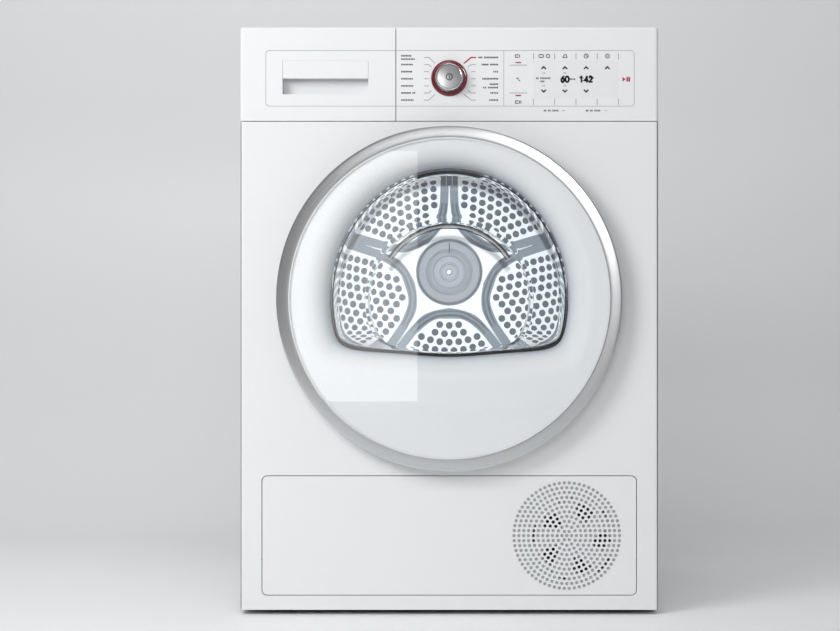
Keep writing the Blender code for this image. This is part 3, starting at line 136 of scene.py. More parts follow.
class DryerColours(bpy.types.PropertyGroup):
    enamel: colour_property("Enamel", "Cabinet panels", (0.86, 0.87, 0.87))
    plastic: colour_property("White plastic", "Fascia, drawer, flap and door mouldings",
                             (0.86, 0.87, 0.88))
    ring: colour_property("Ring steel", "Brushed metal of the door ring", (0.62, 0.63, 0.64))
    steel: colour_property("Drum steel", "Bands and spokes of the drum's back wall",
                           (0.20, 0.225, 0.255))
    # painted shade: the dark tone of the sheet behind the drum's fields, which shows through the holes
    hole: colour_property("Drum holes", "What shows through the drum's holes", (0.13, 0.15, 0.18))
    field: colour_property("Drum fields", "Bright webs between the drum's holes",
                           (0.86, 0.88, 0.90))
    zinc: colour_property("Zinc", "Galvanised sheet", (0.45, 0.46, 0.47))
    grey: colour_property("Grey plastic", "Base mouldings and fan", (0.26, 0.28, 0.29))
    dark: colour_property("Dark plastic", "Levers, catch and inlet", (0.035, 0.035, 0.038))
    rubber: colour_property("Rubber", "Seals and feet", (0.012, 0.012, 0.013))
    chrome: colour_property("Chrome", "Knob", (0.80, 0.80, 0.81))
    red: colour_property("Red", "Red marks", (0.42, 0.012, 0.03))
    ruby: colour_property("Ruby", "Light ring round the knob", (0.13, 0.004, 0.012))
    ink: colour_property("Ink", "Dark printed marks", (0.05, 0.05, 0.055))
    pale_ink: colour_property("Pale ink", "Light grey printed lines", (0.30, 0.31, 0.32))
    glass: colour_property("Glass", "Tint of the door glass", (0.992, 0.998, 1.0))
    felt: colour_property("Felt", "Drum seal", (0.40, 0.38, 0.34))
    motor: colour_property("Motor paint", "Motor and compressor", (0.04, 0.04, 0.045))
    wall: colour_property("Backdrop", "Stage floor and backdrop", (0.82, 0.825, 0.83))


def sizes():
    return bpy.context.scene.dryer_sizes


def colours():
    return bpy.context.scene.dryer_colours


# ---------------------------------------------------------------- shader expressions
class Value:
    """A shader socket that sums can be written with."""

    def __init__(self, graph, socket):
        self.graph = graph
        self.socket = socket

    def sum_node(self, operation, *terms):
        node = self.graph.node("ShaderNodeMath", {"operation": operation})
        for place, term in enumerate(terms):
            self.graph.feed(node.inputs[place], term)
        return Value(self.graph, node.outputs[0])

    def __add__(self, other):
        return self.sum_node("ADD", self, other)

    def __radd__(self, other):
        return self.sum_node("ADD", other, self)

    def __sub__(self, other):
        return self.sum_node("SUBTRACT", self, other)

    def __rsub__(self, other):
        return self.sum_node("SUBTRACT", other, self)

    def __mul__(self, other):
        return self.sum_node("MULTIPLY", self, other)

    def __rmul__(self, other):
        return self.sum_node("MULTIPLY", other, self)

    def __truediv__(self, other):
        return self.sum_node("DIVIDE", self, other)

    def power(self, exponent):
        return self.sum_node("POWER", self, exponent)

    def root(self):
        return self.sum_node("SQRT", self)


class Graph:
    """The node tree of one material."""

    def __init__(self, name):
        self.material = bpy.data.materials.new(name)
        self.material.use_nodes = True
        self.tree = self.material.node_tree
        self.shader = self.tree.nodes["Principled BSDF"]
        self.output = self.tree.nodes["Material Output"]

    def feed(self, socket, value):
        if isinstance(value, Value):
            self.tree.links.new(value.socket, socket)
        elif isinstance(value, bpy.types.NodeSocket):
            self.tree.links.new(value, socket)
        else:
            socket.default_value = value

    def node(self, kind, settings=None, **inputs):
        """Add a node: its settings are set first, then the values or links of its sockets."""
        node = self.tree.nodes.new(kind)
        for name, value in (settings or {}).items():
            setattr(node, name, value)
        for name, value in inputs.items():
            self.feed(node.inputs[name.replace("_", " ")], value)
        return node

    def place(self):
        return self.node("ShaderNodeTexCoord").outputs["Object"]

    def axes(self, origin=(0, 0, 0)):
        """The three coordinates measured from a point, as values."""
        moved = self.node("ShaderNodeVectorMath", {"operation": "SUBTRACT"})
        self.feed(moved.inputs[0], self.place())
        self.feed(moved.inputs[1], origin)
        parts = self.node("ShaderNodeSeparateXYZ")
        self.feed(parts.inputs[0], moved.outputs[0])
        return [Value(self, parts.outputs[name]) for name in "XYZ"]

    def vector(self, x, y, z):
        node = self.node("ShaderNodeCombineXYZ", X=x, Y=y, Z=z)
        return node.outputs[0]

    def noise(self, scale, detail=2.0, where=None, roughness=0.5):
        node = self.node("ShaderNodeTexNoise", Scale=scale, Detail=detail, Roughness=roughness)
        self.feed(node.inputs["Vector"], where or self.place())
        return Value(self, node.outputs["Fac"])

    def cells(self, scale, where=None):
        node = self.node("ShaderNodeTexVoronoi", {"feature": "DISTANCE_TO_EDGE"}, Scale=scale)
        self.feed(node.inputs["Vector"], where or self.place())
        return Value(self, node.outputs["Distance"])

    def step(self, value, low, high):
        """Smooth change from 0 to 1 as the value goes from low to high."""
        node = self.node("ShaderNodeMapRange", {"interpolation_type": "SMOOTHSTEP"},
                         From_Min=low, From_Max=high)
        self.feed(node.inputs["Value"], value)
        return Value(self, node.outputs[0])

    def mix(self, share, first, second):
        node = self.node("ShaderNodeMix", {"data_type": "RGBA"})
        self.feed(node.inputs[0], share)
        self.feed(node.inputs[6], (*first, 1.0) if isinstance(first, tuple) else first)
        self.feed(node.inputs[7], (*second, 1.0) if isinstance(second, tuple) else second)
        return node.outputs[2]

    def bump(self, height, distance, strength=1.0):
        node = self.node("ShaderNodeBump", Strength=strength, Distance=distance, Height=height)
        self.feed(self.shader.inputs["Normal"], node.outputs[0])

    def set(self, **inputs):
        for name, value in inputs.items():
            self.feed(self.shader.inputs[name.replace("_", " ")], value)


def shade(colour, factor):
    return tuple(min(1.0, channel * factor) for channel in colour)


def tone(graph, colour, share, spread):
    """Colour that drifts a little to either side of its own tone."""
    colour = tuple(colour)
    return graph.mix(share, shade(colour, 1 - spread), shade(colour, 1 + spread))


def worn_colour(graph, colour, spread, scale=3.0):
    return tone(graph, colour, graph.noise(scale, 3.0), spread)


def enamel():
    graph = Graph("enamel")
    flow = graph.noise(6.0, 2.0)
    peel = graph.noise(420.0, 2.0)
    graph.set(Base_Color=tone(graph, colours().enamel, flow, 0.012),
              Roughness=0.30 + 0.07 * peel, Coat_Weight=0.25, Coat_Roughness=0.12)
    graph.bump(peel, 0.00004, 0.35)
    return graph.material


def white_plastic():
    graph = Graph("white_plastic")
    grain = graph.noise(1500.0, 2.0)
    flow = graph.noise(9.0, 2.0)
    graph.set(Base_Color=tone(graph, colours().plastic, flow, 0.010),
              Roughness=0.33 + 0.10 * grain, Specular_IOR_Level=0.45)
    graph.bump(grain, 0.00003, 0.25)
    return graph.material


def bowl_plastic():
    """Glossy white moulding with painted light and shade: brightened past the white plastic to make up for light
    the door glass holds back, and turning to a cooler, darker tone of painted shade towards its deep border by the
    window.
    """
    graph = Graph("bowl_plastic")
    x, y, z = graph.axes((DOOR.x, FRONT, DOOR.z))
    # painted shade: the deeper the surface dips towards the window, the more its colour turns to a cooler, darker
    # tone
    depth = graph.step(y, -0.0288, -0.004)
    # painted light: the base colour is brightened past the white plastic to make up for light lost in the glass
    base = shade(tuple(colours().plastic), 1.07)
    painted_shade = tuple(c * k for c, k in zip(base, (0.80, 0.84, 0.88)))
    flow = graph.noise(12.0, 2.0)
    graph.set(Base_Color=graph.mix(depth, base, painted_shade), Roughness=0.22 + 0.05 * flow,
              Coat_Weight=0.3, Coat_Roughness=0.08)
    graph.bump(graph.noise(900.0), 0.00002, 0.2)
    return graph.material


def turned_metal(name, colour, centre, roughness, spacing=2600.0, depth=0.00004, metallic=1.0):
    """Metal brushed round an axis that runs along Y through centre."""
    graph = Graph(name)
    x, y, z = graph.axes(centre)
    radius = (x * x + z * z).root()
    grain = graph.noise(1.0, 3.0, graph.vector(radius * spacing, x * 14.0, z * 14.0), 0.65)
    fine = graph.noise(1.0, 2.0, graph.vector(radius * spacing * 3.1, x * 40.0, z * 40.0))
    graph.set(Base_Color=tone(graph, colour, grain, 0.10), Metallic=metallic,
              Roughness=roughness + 0.16 * (grain - 0.5) + 0.08 * fine)
    graph.bump(grain, depth, 0.5)
    return graph.material


def brushed_sheet(name, colour, roughness, stretch=(6.0, 900.0, 900.0)):
    graph = Graph(name)
    x, y, z = graph.axes()
    grain = graph.noise(1.0, 3.0, graph.vector(x * stretch[0], y * stretch[1], z * stretch[2]), 0.6)
    graph.set(Base_Color=tone(graph, colour, grain, 0.08), Metallic=1.0,
              Roughness=roughness + 0.14 * grain)
    graph.bump(grain, 0.00003, 0.4)
    return graph.material


def satin_sheet(name, colour, metallic, roughness):
    """Half-matt steel whose grain runs in no clear direction."""
    graph = Graph(name)
    grain = graph.noise(340.0, 4.0, None, 0.6)
    cloud = graph.noise(22.0, 3.0)
    graph.set(Base_Color=tone(graph, colour, 0.5 * grain + 0.5 * cloud, 0.07), Metallic=metallic,
              Roughness=roughness + 0.12 * (grain - 0.5))
    graph.bump(grain, 0.00003, 0.3)
    return graph.material


def galvanised():
    graph = Graph("galvanised")
    spangle = graph.node("ShaderNodeTexVoronoi", {"feature": "F1"}, Scale=95.0)
    graph.feed(spangle.inputs["Vector"], graph.place())
    flake = Value(graph, graph.node("ShaderNodeSeparateColor", Color=spangle.outputs["Color"]).outputs[0])
    dust = graph.noise(14.0, 4.0)
    graph.set(Base_Color=tone(graph, colours().zinc, flake * 0.7 + dust * 0.3, 0.14), Metallic=0.9,
              Roughness=0.34 + 0.18 * flake + 0.08 * dust)
    graph.bump(dust, 0.00008, 0.3)
    return graph.material


def moulded(name, colour, roughness, coarse=0.06):
    graph = Graph(name)
    grain = graph.noise(1100.0, 3.0)
    graph.set(Base_Color=worn_colour(graph, colour, coarse, 18.0),
              Roughness=roughness + 0.14 * (grain - 0.5))
    graph.bump(grain, 0.00006, 0.5)
    return graph.material


def rubber():
    graph = Graph("rubber")
    bloom = graph.noise(60.0, 4.0)
    base = tuple(colours().rubber)
    graph.set(Base_Color=graph.mix(graph.step(bloom, 0.45, 0.8), base, shade(base, 2.2)),
              Roughness=0.62 + 0.2 * bloom)
    graph.bump(graph.noise(1300.0), 0.00005, 0.5)
    return graph.material


def felt():
    graph = Graph("felt")
    fibre = graph.noise(700.0, 6.0, None, 0.75)
    graph.set(Base_Color=tone(graph, colours().felt, fibre, 0.30), Roughness=0.95)
    graph.bump(fibre, 0.0006, 0.8)
    return graph.material


def chrome():
    graph = Graph("chrome")
    haze = graph.noise(240.0, 3.0)
    graph.set(Base_Color=tone(graph, colours().chrome, haze, 0.03), Metallic=1.0,
              Roughness=0.10 + 0.06 * haze)
    return graph.material


def fins():
    """Rolled aluminium seen as close fins: light stripes for the fin edges and dark stripes of painted shade for
    the gaps between them.
    """
    graph = Graph("fins")
    x, y, z = graph.axes()
    comb = graph.node("ShaderNodeTexWave", {"bands_direction": "X"}, Scale=115.0, Distortion=0.4)
    graph.feed(comb.inputs["Vector"], graph.place())
    ridge = Value(graph, comb.outputs["Fac"])
    # painted shade: the dark end of this mix stands for the shade in the gaps between the fins
    graph.set(Base_Color=graph.mix(ridge, (0.10, 0.10, 0.11), (0.66, 0.67, 0.69)), Metallic=0.9,
              Roughness=0.38 + 0.2 * graph.noise(40.0))
    graph.bump(ridge, 0.0006, 0.9)
    return graph.material


def motor_paint():
    graph = Graph("motor_paint")
    speckle = graph.noise(260.0, 4.0)
    graph.set(Base_Color=worn_colour(graph, colours().motor, 0.35, 40.0),
              Roughness=0.40 + 0.22 * speckle)
    graph.bump(speckle, 0.00012, 0.6)
    return graph.material


def red_light():
    graph = Graph("red_light")
    cloud = graph.noise(90.0, 2.0)
    base = tuple(colours().ruby)
    graph.set(Base_Color=tone(graph, base, cloud, 0.12), Roughness=0.14 + 0.05 * cloud,
              Coat_Weight=0.8, Coat_Roughness=0.05)
    return graph.material


def ink(name, colour, painted_glow=0.0):
    graph = Graph(name)
    print_grain = graph.noise(2600.0, 2.0)
    graph.set(Base_Color=tone(graph, colour, print_grain, 0.07), Roughness=0.42 + 0.1 * print_grain)
    # painted glow: printed marks are given a faint emission, though they are no lamp
    if painted_glow:
        graph.set(Emission_Color=(*colour, 1.0), Emission_Strength=painted_glow)
    return graph.material


def display_film():
    """Satin window, a touch darker than the fascia round it."""
    graph = Graph("display_film")
    haze = graph.noise(700.0, 2.0)
    base = shade(tuple(colours().plastic), 0.985)
    graph.set(Base_Color=tone(graph, base, graph.noise(14.0), 0.006),
              Roughness=0.24 + 0.06 * haze, Coat_Weight=0.35, Coat_Roughness=0.1)
    graph.bump(haze, 0.00002, 0.15)
    return graph.material


def clear_glass(name, tint, roughness):
    """Clear glass that lets lamps through, so what lies behind it stays lit."""
    graph = Graph(name)
    smear = graph.noise(5.0, 3.0)
    graph.set(Base_Color=(*tint, 1.0), Roughness=roughness + 0.012 * smear, IOR=1.47,
              Transmission_Weight=1.0)
    through = graph.node("ShaderNodeBsdfTransparent", Color=(*tint, 1.0))
    blend = graph.node("ShaderNodeMixShader")
    graph.feed(blend.inputs[0], graph.node("ShaderNodeLightPath").outputs["Is Shadow Ray"])
    graph.feed(blend.inputs[1], graph.shader.outputs[0])
    graph.feed(blend.inputs[2], through.outputs[0])
    graph.feed(graph.output.inputs["Surface"], blend.outputs[0])
    return graph.material


def stage_paint(name, colour, roughness):
    """Paint on one side only, so the backdrop doesn't hide the machine's rear."""
    graph = Graph(name)
    cloud = graph.noise(1.6, 3.0)
    graph.set(Base_Color=tone(graph, colour, cloud, 0.015), Roughness=roughness + 0.05 * cloud)
    blend = graph.node("ShaderNodeMixShader")
    graph.feed(blend.inputs[0], graph.node("ShaderNodeNewGeometry").outputs["Backfacing"])
    graph.feed(blend.inputs[1], graph.shader.outputs[0])
    graph.feed(blend.inputs[2], graph.node("ShaderNodeBsdfTransparent").outputs[0])
    graph.feed(graph.output.inputs["Surface"], blend.outputs[0])
    return graph.material


MAKERS = {
    "enamel": enamel,
    "white_plastic": white_plastic,
    "bowl_plastic": bowl_plastic,
    "galvanised": galvanised,
    "rubber": rubber,
    "felt": felt,
    "chrome": chrome,
    "fins": fins,
    "motor_paint": motor_paint,
    "red_light": red_light,
    "display_film": display_film,
    "ring_steel": lambda: turned_metal("ring_steel", tuple(colours().ring), DOOR, 0.26),
    "key_steel": lambda: turned_metal("key_steel", (0.42, 0.42, 0.43), KNOB, 0.34, 6000.0, 0.00002),
    "hub_steel": lambda: turned_metal("hub_steel", (0.44, 0.47, 0.51), DRUM, 0.42, 1500.0, metallic=0.35),
    "drum_steel": lambda: satin_sheet("drum_steel", tuple(colours().steel), 0.45, 0.42),
    "drum_field": lambda: satin_sheet("drum_field", tuple(colours().field), 0.35, 0.45),
    # painted shade: dark finish of the sheet that shows through the drum's holes
    "drum_hole": lambda: satin_sheet("drum_hole", tuple(colours().hole), 0.30, 0.50),
    "satin_steel": lambda: brushed_sheet("satin_steel", (0.60, 0.61, 0.62), 0.26),
    "grey_plastic": lambda: moulded("grey_plastic", tuple(colours().grey), 0.48),
    "pale_grey_plastic": lambda: moulded("pale_grey_plastic", (0.36, 0.37, 0.38), 0.50, 0.03),
    "baffle_grey": lambda: moulded("baffle_grey", (0.47, 0.48, 0.49), 0.55, 0.04),
    "dark_plastic": lambda: moulded("dark_plastic", tuple(colours().dark), 0.45, 0.12),
    "ink": lambda: ink("ink", tuple(colours().ink)),
    "pale_ink": lambda: ink("pale_ink", tuple(colours().pale_ink)),
    # the red marks carry a faint painted glow
    "red_ink": lambda: ink("red_ink", tuple(colours().red), 0.08),
    "pane_glass": lambda: clear_glass("pane_glass", tuple(colours().glass), 0.0),
    "window_glass": lambda: clear_glass("window_glass", (0.955, 0.975, 0.985), 0.0),
}
MATERIALS = {}


def material(name):
    if name not in MATERIALS:
        MATERIALS[name] = MAKERS[name]()
    return MATERIALS[name]


# ---------------------------------------------------------------- mesh helpers
def object_of(name, bm):
    mesh = bpy.data.meshes.new(name)
    bm.to_mesh(mesh)
    bm.free()
    piece = bpy.data.objects.new(name, mesh)
    bpy.context.scene.collection.objects.link(piece)
    return piece


def settle(piece):
    """Apply the modifiers of a piece to its mesh."""
    bpy.context.view_layer.update()
    evaluated = piece.evaluated_get(bpy.context.evaluated_depsgraph_get())
    mesh = bpy.data.meshes.new_from_object(evaluated)
    piece.modifiers.clear()
    piece.data = mesh
    return piece


def discard(*helpers):
    for helper in helpers:
        bpy.data.objects.remove(helper, do_unlink=True)


def carve(piece, *cutters, operation="DIFFERENCE"):
    for cutter in cutters:
        modifier = piece.modifiers.new("carve", "BOOLEAN")
        modifier.operation = operation
        modifier.object = cutter
        modifier.solver = "EXACT"
    settle(piece)
    discard(*cutters)
    return piece


def soften(piece, width, segments=2, angle=40):
    modifier = piece.modifiers.new("soften", "BEVEL")
    modifier.width = width
    modifier.segments = segments
    modifier.limit_method = "ANGLE"
    modifier.angle_limit = math.radians(angle)
    modifier.use_clamp_overlap = True
    return settle(piece)


def smooth(piece, angle=38):
    piece.data.shade_smooth()
    piece.data.set_sharp_from_angle(angle=math.radians(angle))
    weighted = piece.modifiers.new("face normals", "WEIGHTED_NORMAL")
    weighted.keep_sharp = True
    weighted.weight = 100
    return piece


def finish(piece, finish_name, body, slot, *nodes):
    """Give a piece its finish, its body and the nodes that it stands for."""
    piece.data.materials.clear()
    piece.data.materials.append(material(finish_name))
    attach(piece, body)
    if nodes:
        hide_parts(*nodes)
    return piece


def box_mesh(low, high):
    bm = bmesh.new()
    bmesh.ops.create_cube(bm, size=1.0)
    bmesh.ops.scale(bm, verts=bm.verts, vec=Vector(high) - Vector(low))
    bmesh.ops.translate(bm, verts=bm.verts, vec=(Vector(low) + Vector(high)) / 2)
    return bm


def box(name, low, high):
    return object_of(name, box_mesh(low, high))


def rod(name, start, end, radius, segments=48):
    start, end = Vector(start), Vector(end)
    turn = (end - start).to_track_quat("Z", "Y").to_matrix().to_4x4()
    bm = bmesh.new()
    bmesh.ops.create_cone(bm, cap_ends=True, segments=segments, radius1=radius, radius2=radius,
                          depth=(end - start).length,
                          matrix=Matrix.Translation((start + end) / 2) @ turn)
    return object_of(name, bm)


def arc(centre, radius, first, last, count):
    """Points on an arc, angles in degrees."""
    points = []
    for i in range(count + 1):
        angle = math.radians(first + (last - first) * i / count)
        points.append((centre[0] + radius * math.cos(angle), centre[1] + radius * math.sin(angle)))
    return points


def circle(centre, radius, count=96):
    return arc(centre, radius, 0, 360, count)[:-1]


def rounded_rectangle(low, high, radius, count=8):
    (x0, z0), (x1, z1) = low, high
    points = []
    for x, z, start in ((x1 - radius, z1 - radius, 0), (x0 + radius, z1 - radius, 90),
                        (x0 + radius, z0 + radius, 180), (x1 - radius, z0 + radius, 270)):
        points += arc((x, z), radius, start, start + 90, count)
    return points


def plate(name, outlines, front, back):
    """A flat plate facing -Y between two depths; outlines may nest as holes."""
    curve = bpy.data.curves.new(name, "CURVE")
    curve.dimensions = "2D"
    curve.fill_mode = "BOTH"
    curve.extrude = (back - front) / 2
    for outline in outlines:
        spline = curve.splines.new("POLY")
        spline.points.add(len(outline) - 1)
        for point, (x, z) in zip(spline.points, outline):
            point.co = (x, z, 0.0, 1.0)
        spline.use_cyclic_u = True
    drawing = bpy.data.objects.new(name + "_drawing", curve)
    bpy.context.scene.collection.objects.link(drawing)
    bpy.context.view_layer.update()
    evaluated = drawing.evaluated_get(bpy.context.evaluated_depsgraph_get())
    mesh = bpy.data.meshes.new_from_object(evaluated)
    bm = bmesh.new()
    bm.from_mesh(mesh)
    bmesh.ops.rotate(bm, verts=bm.verts, matrix=Matrix.Rotation(math.pi / 2, 3, "X"))
    bmesh.ops.translate(bm, verts=bm.verts, vec=(0, (front + back) / 2, 0))
    bmesh.ops.remove_doubles(bm, verts=bm.verts, dist=0.000001)
    bmesh.ops.recalc_face_normals(bm, faces=bm.faces)
    discard(drawing)
    return object_of(name, bm)


def lathe(name, profile, centre, steps=192, closed=False):
    """Turn (radius, depth) points about the Y axis through centre; depths are absolute."""
    bm = bmesh.new()
    rows = []
    for radius, depth in profile:
        if radius < 1e-7:
            rows.append([bm.verts.new((centre[0], depth, centre[2]))])
            continue
        row = []
        for i in range(steps):
            angle = math.tau * i / steps
            row.append(bm.verts.new((centre[0] + radius * math.cos(angle), depth,
                                     centre[2] + radius * math.sin(angle))))
        rows.append(row)
    pairs = list(zip(rows, rows[1:]))
    if closed:
        pairs.append((rows[-1], rows[0]))
    for near, far in pairs:
        for i in range(steps):
            j = (i + 1) % steps
            corners = [near[i % len(near)], near[j % len(near)], far[j % len(far)], far[i % len(far)]]
            corners = list(dict.fromkeys(corners))
            if len(corners) > 2:
                bm.faces.new(corners)
    bmesh.ops.recalc_face_normals(bm, faces=bm.faces)
    return object_of(name, bm)


def skin(name, sections, ring=False, cap_last=False):
    """Loft equally long closed sections of points."""
    bm = bmesh.new()
    rows = [[bm.verts.new(point) for point in section] for section in sections]
    pairs = list(zip(rows, rows[1:]))
    if ring:
        pairs.append((rows[-1], rows[0]))
    count = len(rows[0])
    for near, far in pairs:
        for i in range(count):
            j = (i + 1) % count
            bm.faces.new((near[i], near[j], far[j], far[i]))
    if cap_last:
        bm.faces.new(rows[-1])
    bmesh.ops.recalc_face_normals(bm, faces=bm.faces)
    return object_of(name, bm)


def thicken(piece, thickness, offset=0.0):
    modifier = piece.modifiers.new("wall", "SOLIDIFY")
    modifier.thickness = thickness
    modifier.offset = offset
    return settle(piece)


def tube(name, points, radius, flatten=1.0, closed=False, resolution=3):
    """A bead along points; flatten squeezes it towards the plane of its first point."""
    curve = bpy.data.curves.new(name, "CURVE")
    curve.dimensions = "3D"
    curve.bevel_depth = radius
    curve.bevel_resolution = resolution
    curve.use_fill_caps = True
    spline = curve.splines.new("POLY")
    spline.points.add(len(points) - 1)
    for point, place in zip(spline.points, points):
        point.co = (*place, 1.0)
    spline.use_cyclic_u = closed
    drawing = bpy.data.objects.new(name + "_path", curve)
    bpy.context.scene.collection.objects.link(drawing)
    bpy.context.view_layer.update()
    evaluated = drawing.evaluated_get(bpy.context.evaluated_depsgraph_get())
    mesh = bpy.data.meshes.new_from_object(evaluated)
    bm = bmesh.new()
    bm.from_mesh(mesh)
    bmesh.ops.remove_doubles(bm, verts=bm.verts, dist=0.000001)
    level = points[0][1]
    for vertex in bm.verts:
        vertex.co.y = level + (vertex.co.y - level) * flatten
    discard(drawing)
    return object_of(name, bm)


def strokes(name, lines, width, front, depth):
    """Flat printed lines facing -Y: each line is a list of (x, z) points."""
    bm = bmesh.new()
    for points in lines:
        for (x0, z0), (x1, z1) in zip(points, points[1:]):
            along = Vector((x1 - x0, z1 - z0))
            if along.length < 1e-7:
                continue
            along.normalize()
            side = Vector((-along.y, along.x)) * width / 2
            reach = along * width * 0.35 if len(points) > 2 else Vector((0, 0))
            corners = [(x0 - reach.x + side.x, z0 - reach.y + side.y),
                       (x0 - reach.x - side.x, z0 - reach.y - side.y),
                       (x1 + reach.x - side.x, z1 + reach.y - side.y),
                       (x1 + reach.x + side.x, z1 + reach.y + side.y)]
            near = [bm.verts.new((x, front - depth, z)) for x, z in corners]
            far = [bm.verts.new((x, front, z)) for x, z in corners]
            bm.faces.new(near)
            bm.faces.new(far[::-1])
            for i in range(4):
                j = (i + 1) % 4
                bm.faces.new((near[j], near[i], far[i], far[j]))
    bmesh.ops.recalc_face_normals(bm, faces=bm.faces)
    return object_of(name, bm)


def screw_head(name, place, radius, direction=-1.0, height=0.0018):
    """Pan head with a cross slot, facing along Y."""
    x, y, z = place
    front = y + direction * height
    head = lathe(name, [(0, y), (radius, y), (radius, y + direction * height * 0.45),
                        (radius * 0.86, y + direction * height * 0.85),
                        (radius * 0.5, front), (0, front)], (x, 0, z), 28)
    slot_depth = height * 0.55
    ys = sorted((front - direction * slot_depth, front + direction * 0.001))
    bars = []
    for across, up in ((0.62, 0.13), (0.13, 0.62)):
        bars.append(box(name + "_slot", (x - radius * across, ys[0], z - radius * up),
                        (x + radius * across, ys[1], z + radius * up)))
    carve(head, *bars)
    return smooth(head, 50)


# ---------------------------------------------------------------- cabinet
def rounded_front(name, low, high, uprights, borders, wall):
    """A pan whose chosen front borders are rounded; it is open at the back."""
    radius = sizes().panel_radius
    bm = box_mesh(low, high)

    def chosen(edge):
        a, b = (v.co for v in edge.verts)
        at_front = max(a.y, b.y) < low.y + 0.0001
        at_top = min(a.z, b.z) > high.z - 0.0001
        sides = [abs(a.x - x) < 0.0001 and abs(b.x - x) < 0.0001 for x in uprights]
        if any(sides) and at_front:
            return True
        return borders and at_top and (at_front or any(sides))

    edges = [edge for edge in bm.edges if chosen(edge)]
    bmesh.ops.bevel(bm, geom=edges, offset=radius, segments=10, profile=0.5, affect="EDGES")
    shell = object_of(name, bm)
    hollow = box(name + "_hollow", low + Vector((wall, wall, wall)),
                 high + Vector((-wall, 0.01, -wall)))
    return carve(shell, hollow)


class DRYER_OT_front_panel(bpy.types.Operator):
    """Pressed steel front with the porthole and the flap opening"""
    bl_idname = "dryer.front_panel"
    bl_label = "Front panel"

    def execute(self, context):
        low, high = span("front_panel")
        panel = rounded_front("front_skin", low, high, (low.x, high.x), False, 0.0012)
        flap_low, flap_high = span("service_flap")
        gap = 0.001
        collar = span("loading_collar")
        radius = (collar[1].x - collar[0].x) / 2 + 0.0012
        porthole = rod("porthole", (DOOR.x, FRONT - 0.01, DOOR.z), (DOOR.x, FRONT + 0.008, DOOR.z),
                       radius, 160)
        opening = plate("flap_opening",
                        [rounded_rectangle((flap_low.x - gap, flap_low.z - gap),
                                           (flap_high.x + gap, flap_high.z + gap), 0.008)],
                        FRONT - 0.01, FRONT + 0.008)
        hook = middle("door_hook")
        slot = box("hook_slot", (hook.x - 0.0045, FRONT - 0.01, hook.z - 0.012),
                   (hook.x + 0.0045, FRONT + 0.008, hook.z + 0.012))
        carve(panel, porthole, opening, slot)
        soften(panel, 0.0004, 2, 60)
        smooth(panel)
        finish(panel, "enamel", "cabinet", "white_enamel", "front_panel")
        return {"FINISHED"}


class DRYER_OT_control_fascia(bpy.types.Operator):
    """Moulded control fascia with its knob bore"""
    bl_idname = "dryer.control_fascia"
    bl_label = "Control fascia"

    def execute(self, context):
        low, high = span("control_fascia")
        fascia = rounded_front("fascia_skin", low, high, (high.x,), True, 0.003)
        bore = rod("knob_bore", (KNOB.x, FRONT - 0.01, KNOB.z), (KNOB.x, FRONT + 0.01, KNOB.z), 0.007)
        carve(fascia, bore)
        soften(fascia, 0.0004, 2, 60)
        smooth(fascia)
        finish(fascia, "white_plastic", "cabinet", "white_plastic", "control_fascia", "display_window")
        return {"FINISHED"}


class DRYER_OT_drawer(bpy.types.Operator):
    """Front of the water container drawer with its handle recess and grip plate"""
    bl_idname = "dryer.drawer"
    bl_label = "Water container drawer"

    def execute(self, context):
        low, high = span("container_front")
        grip_low, grip_high = span("container_grip")
        floor = grip_low.z - 0.0225
        back = grip_high.y
        front = rounded_front("drawer_skin", low, high, (low.x,), True, 0.003)
        wall = 0.002
        cup = box("cup", (grip_low.x - wall, FRONT + 0.001, floor - wall),
                  (grip_high.x + wall, back + wall, grip_high.z + wall))
        carve(front, cup, operation="UNION")
        bm = box_mesh((grip_low.x - 0.0003, FRONT - 0.01, floor), (grip_high.x + 0.0003, back, grip_high.z))
        upright = [e for e in bm.edges
                   if abs(e.verts[0].co.x - e.verts[1].co.x) < 1e-6
                   and abs(e.verts[0].co.z - e.verts[1].co.z) < 1e-6]
        bmesh.ops.bevel(bm, geom=upright, offset=0.0012, segments=4, profile=0.5, affect="EDGES")
        carve(front, object_of("recess", bm))
        soften(front, 0.0004, 2, 60)
        smooth(front)
        finish(front, "white_plastic", "container", "white_plastic", "container_front")
        self.build_grip(grip_low, grip_high, back)
        return {"FINISHED"}

    def build_grip(self, low, high, back):
        """Plate that stands in front of the recess, with a hooked lower lip behind it."""
        thick = 0.0035
        top = high.z
        section = [(FRONT, low.z + 0.0006), (FRONT, top - 0.0006), (FRONT + 0.0006, top),
                   (back - 0.0008, top), (back - 0.0008, top - 0.004),
                   (FRONT + thick + 0.004, top - 0.0045), (FRONT + thick, top - 0.0085),
                   (FRONT + thick, low.z + 0.006), (FRONT + thick + 0.0025, low.z + 0.0035),
                   (FRONT + thick + 0.0025, low.z + 0.0008), (FRONT + thick + 0.0018, low.z),
                   (FRONT + 0.0006, low.z)]
        ends = [[(x, y, z) for y, z in section] for x in (low.x, high.x)]
        bm = bmesh.new()
        rows = [[bm.verts.new(point) for point in end] for end in ends]
        count = len(section)
        for i in range(count):
            j = (i + 1) % count
            bm.faces.new((rows[0][i], rows[0][j], rows[1][j], rows[1][i]))
        bm.faces.new(rows[0])
        bm.faces.new(rows[1][::-1])
        bmesh.ops.recalc_face_normals(bm, faces=bm.faces)
        grip = smooth(soften(object_of("grip_plate", bm), 0.0003, 2, 60))
        finish(grip, "white_plastic", "container", "white_plastic", "container_grip")


# ---------------------------------------------------------------- printed marks
def word_blocks(x, z, lengths, towards, height=0.0024):
    """Abstract marks in the place of a printed name: rows of blocks the size of letters."""
    blocks = []
    start = x
    for length in lengths:
        count = max(1, round(length / 0.00215))
        for i in range(count):
            tall = height * (0.92 if i % 3 else 1.0)
            middle_x = start + towards * (i + 0.5) * length / count
            blocks.append([(middle_x, z - tall / 2), (middle_x, z + tall / 2)])
        start += towards * (length + 0.0020)
    return blocks


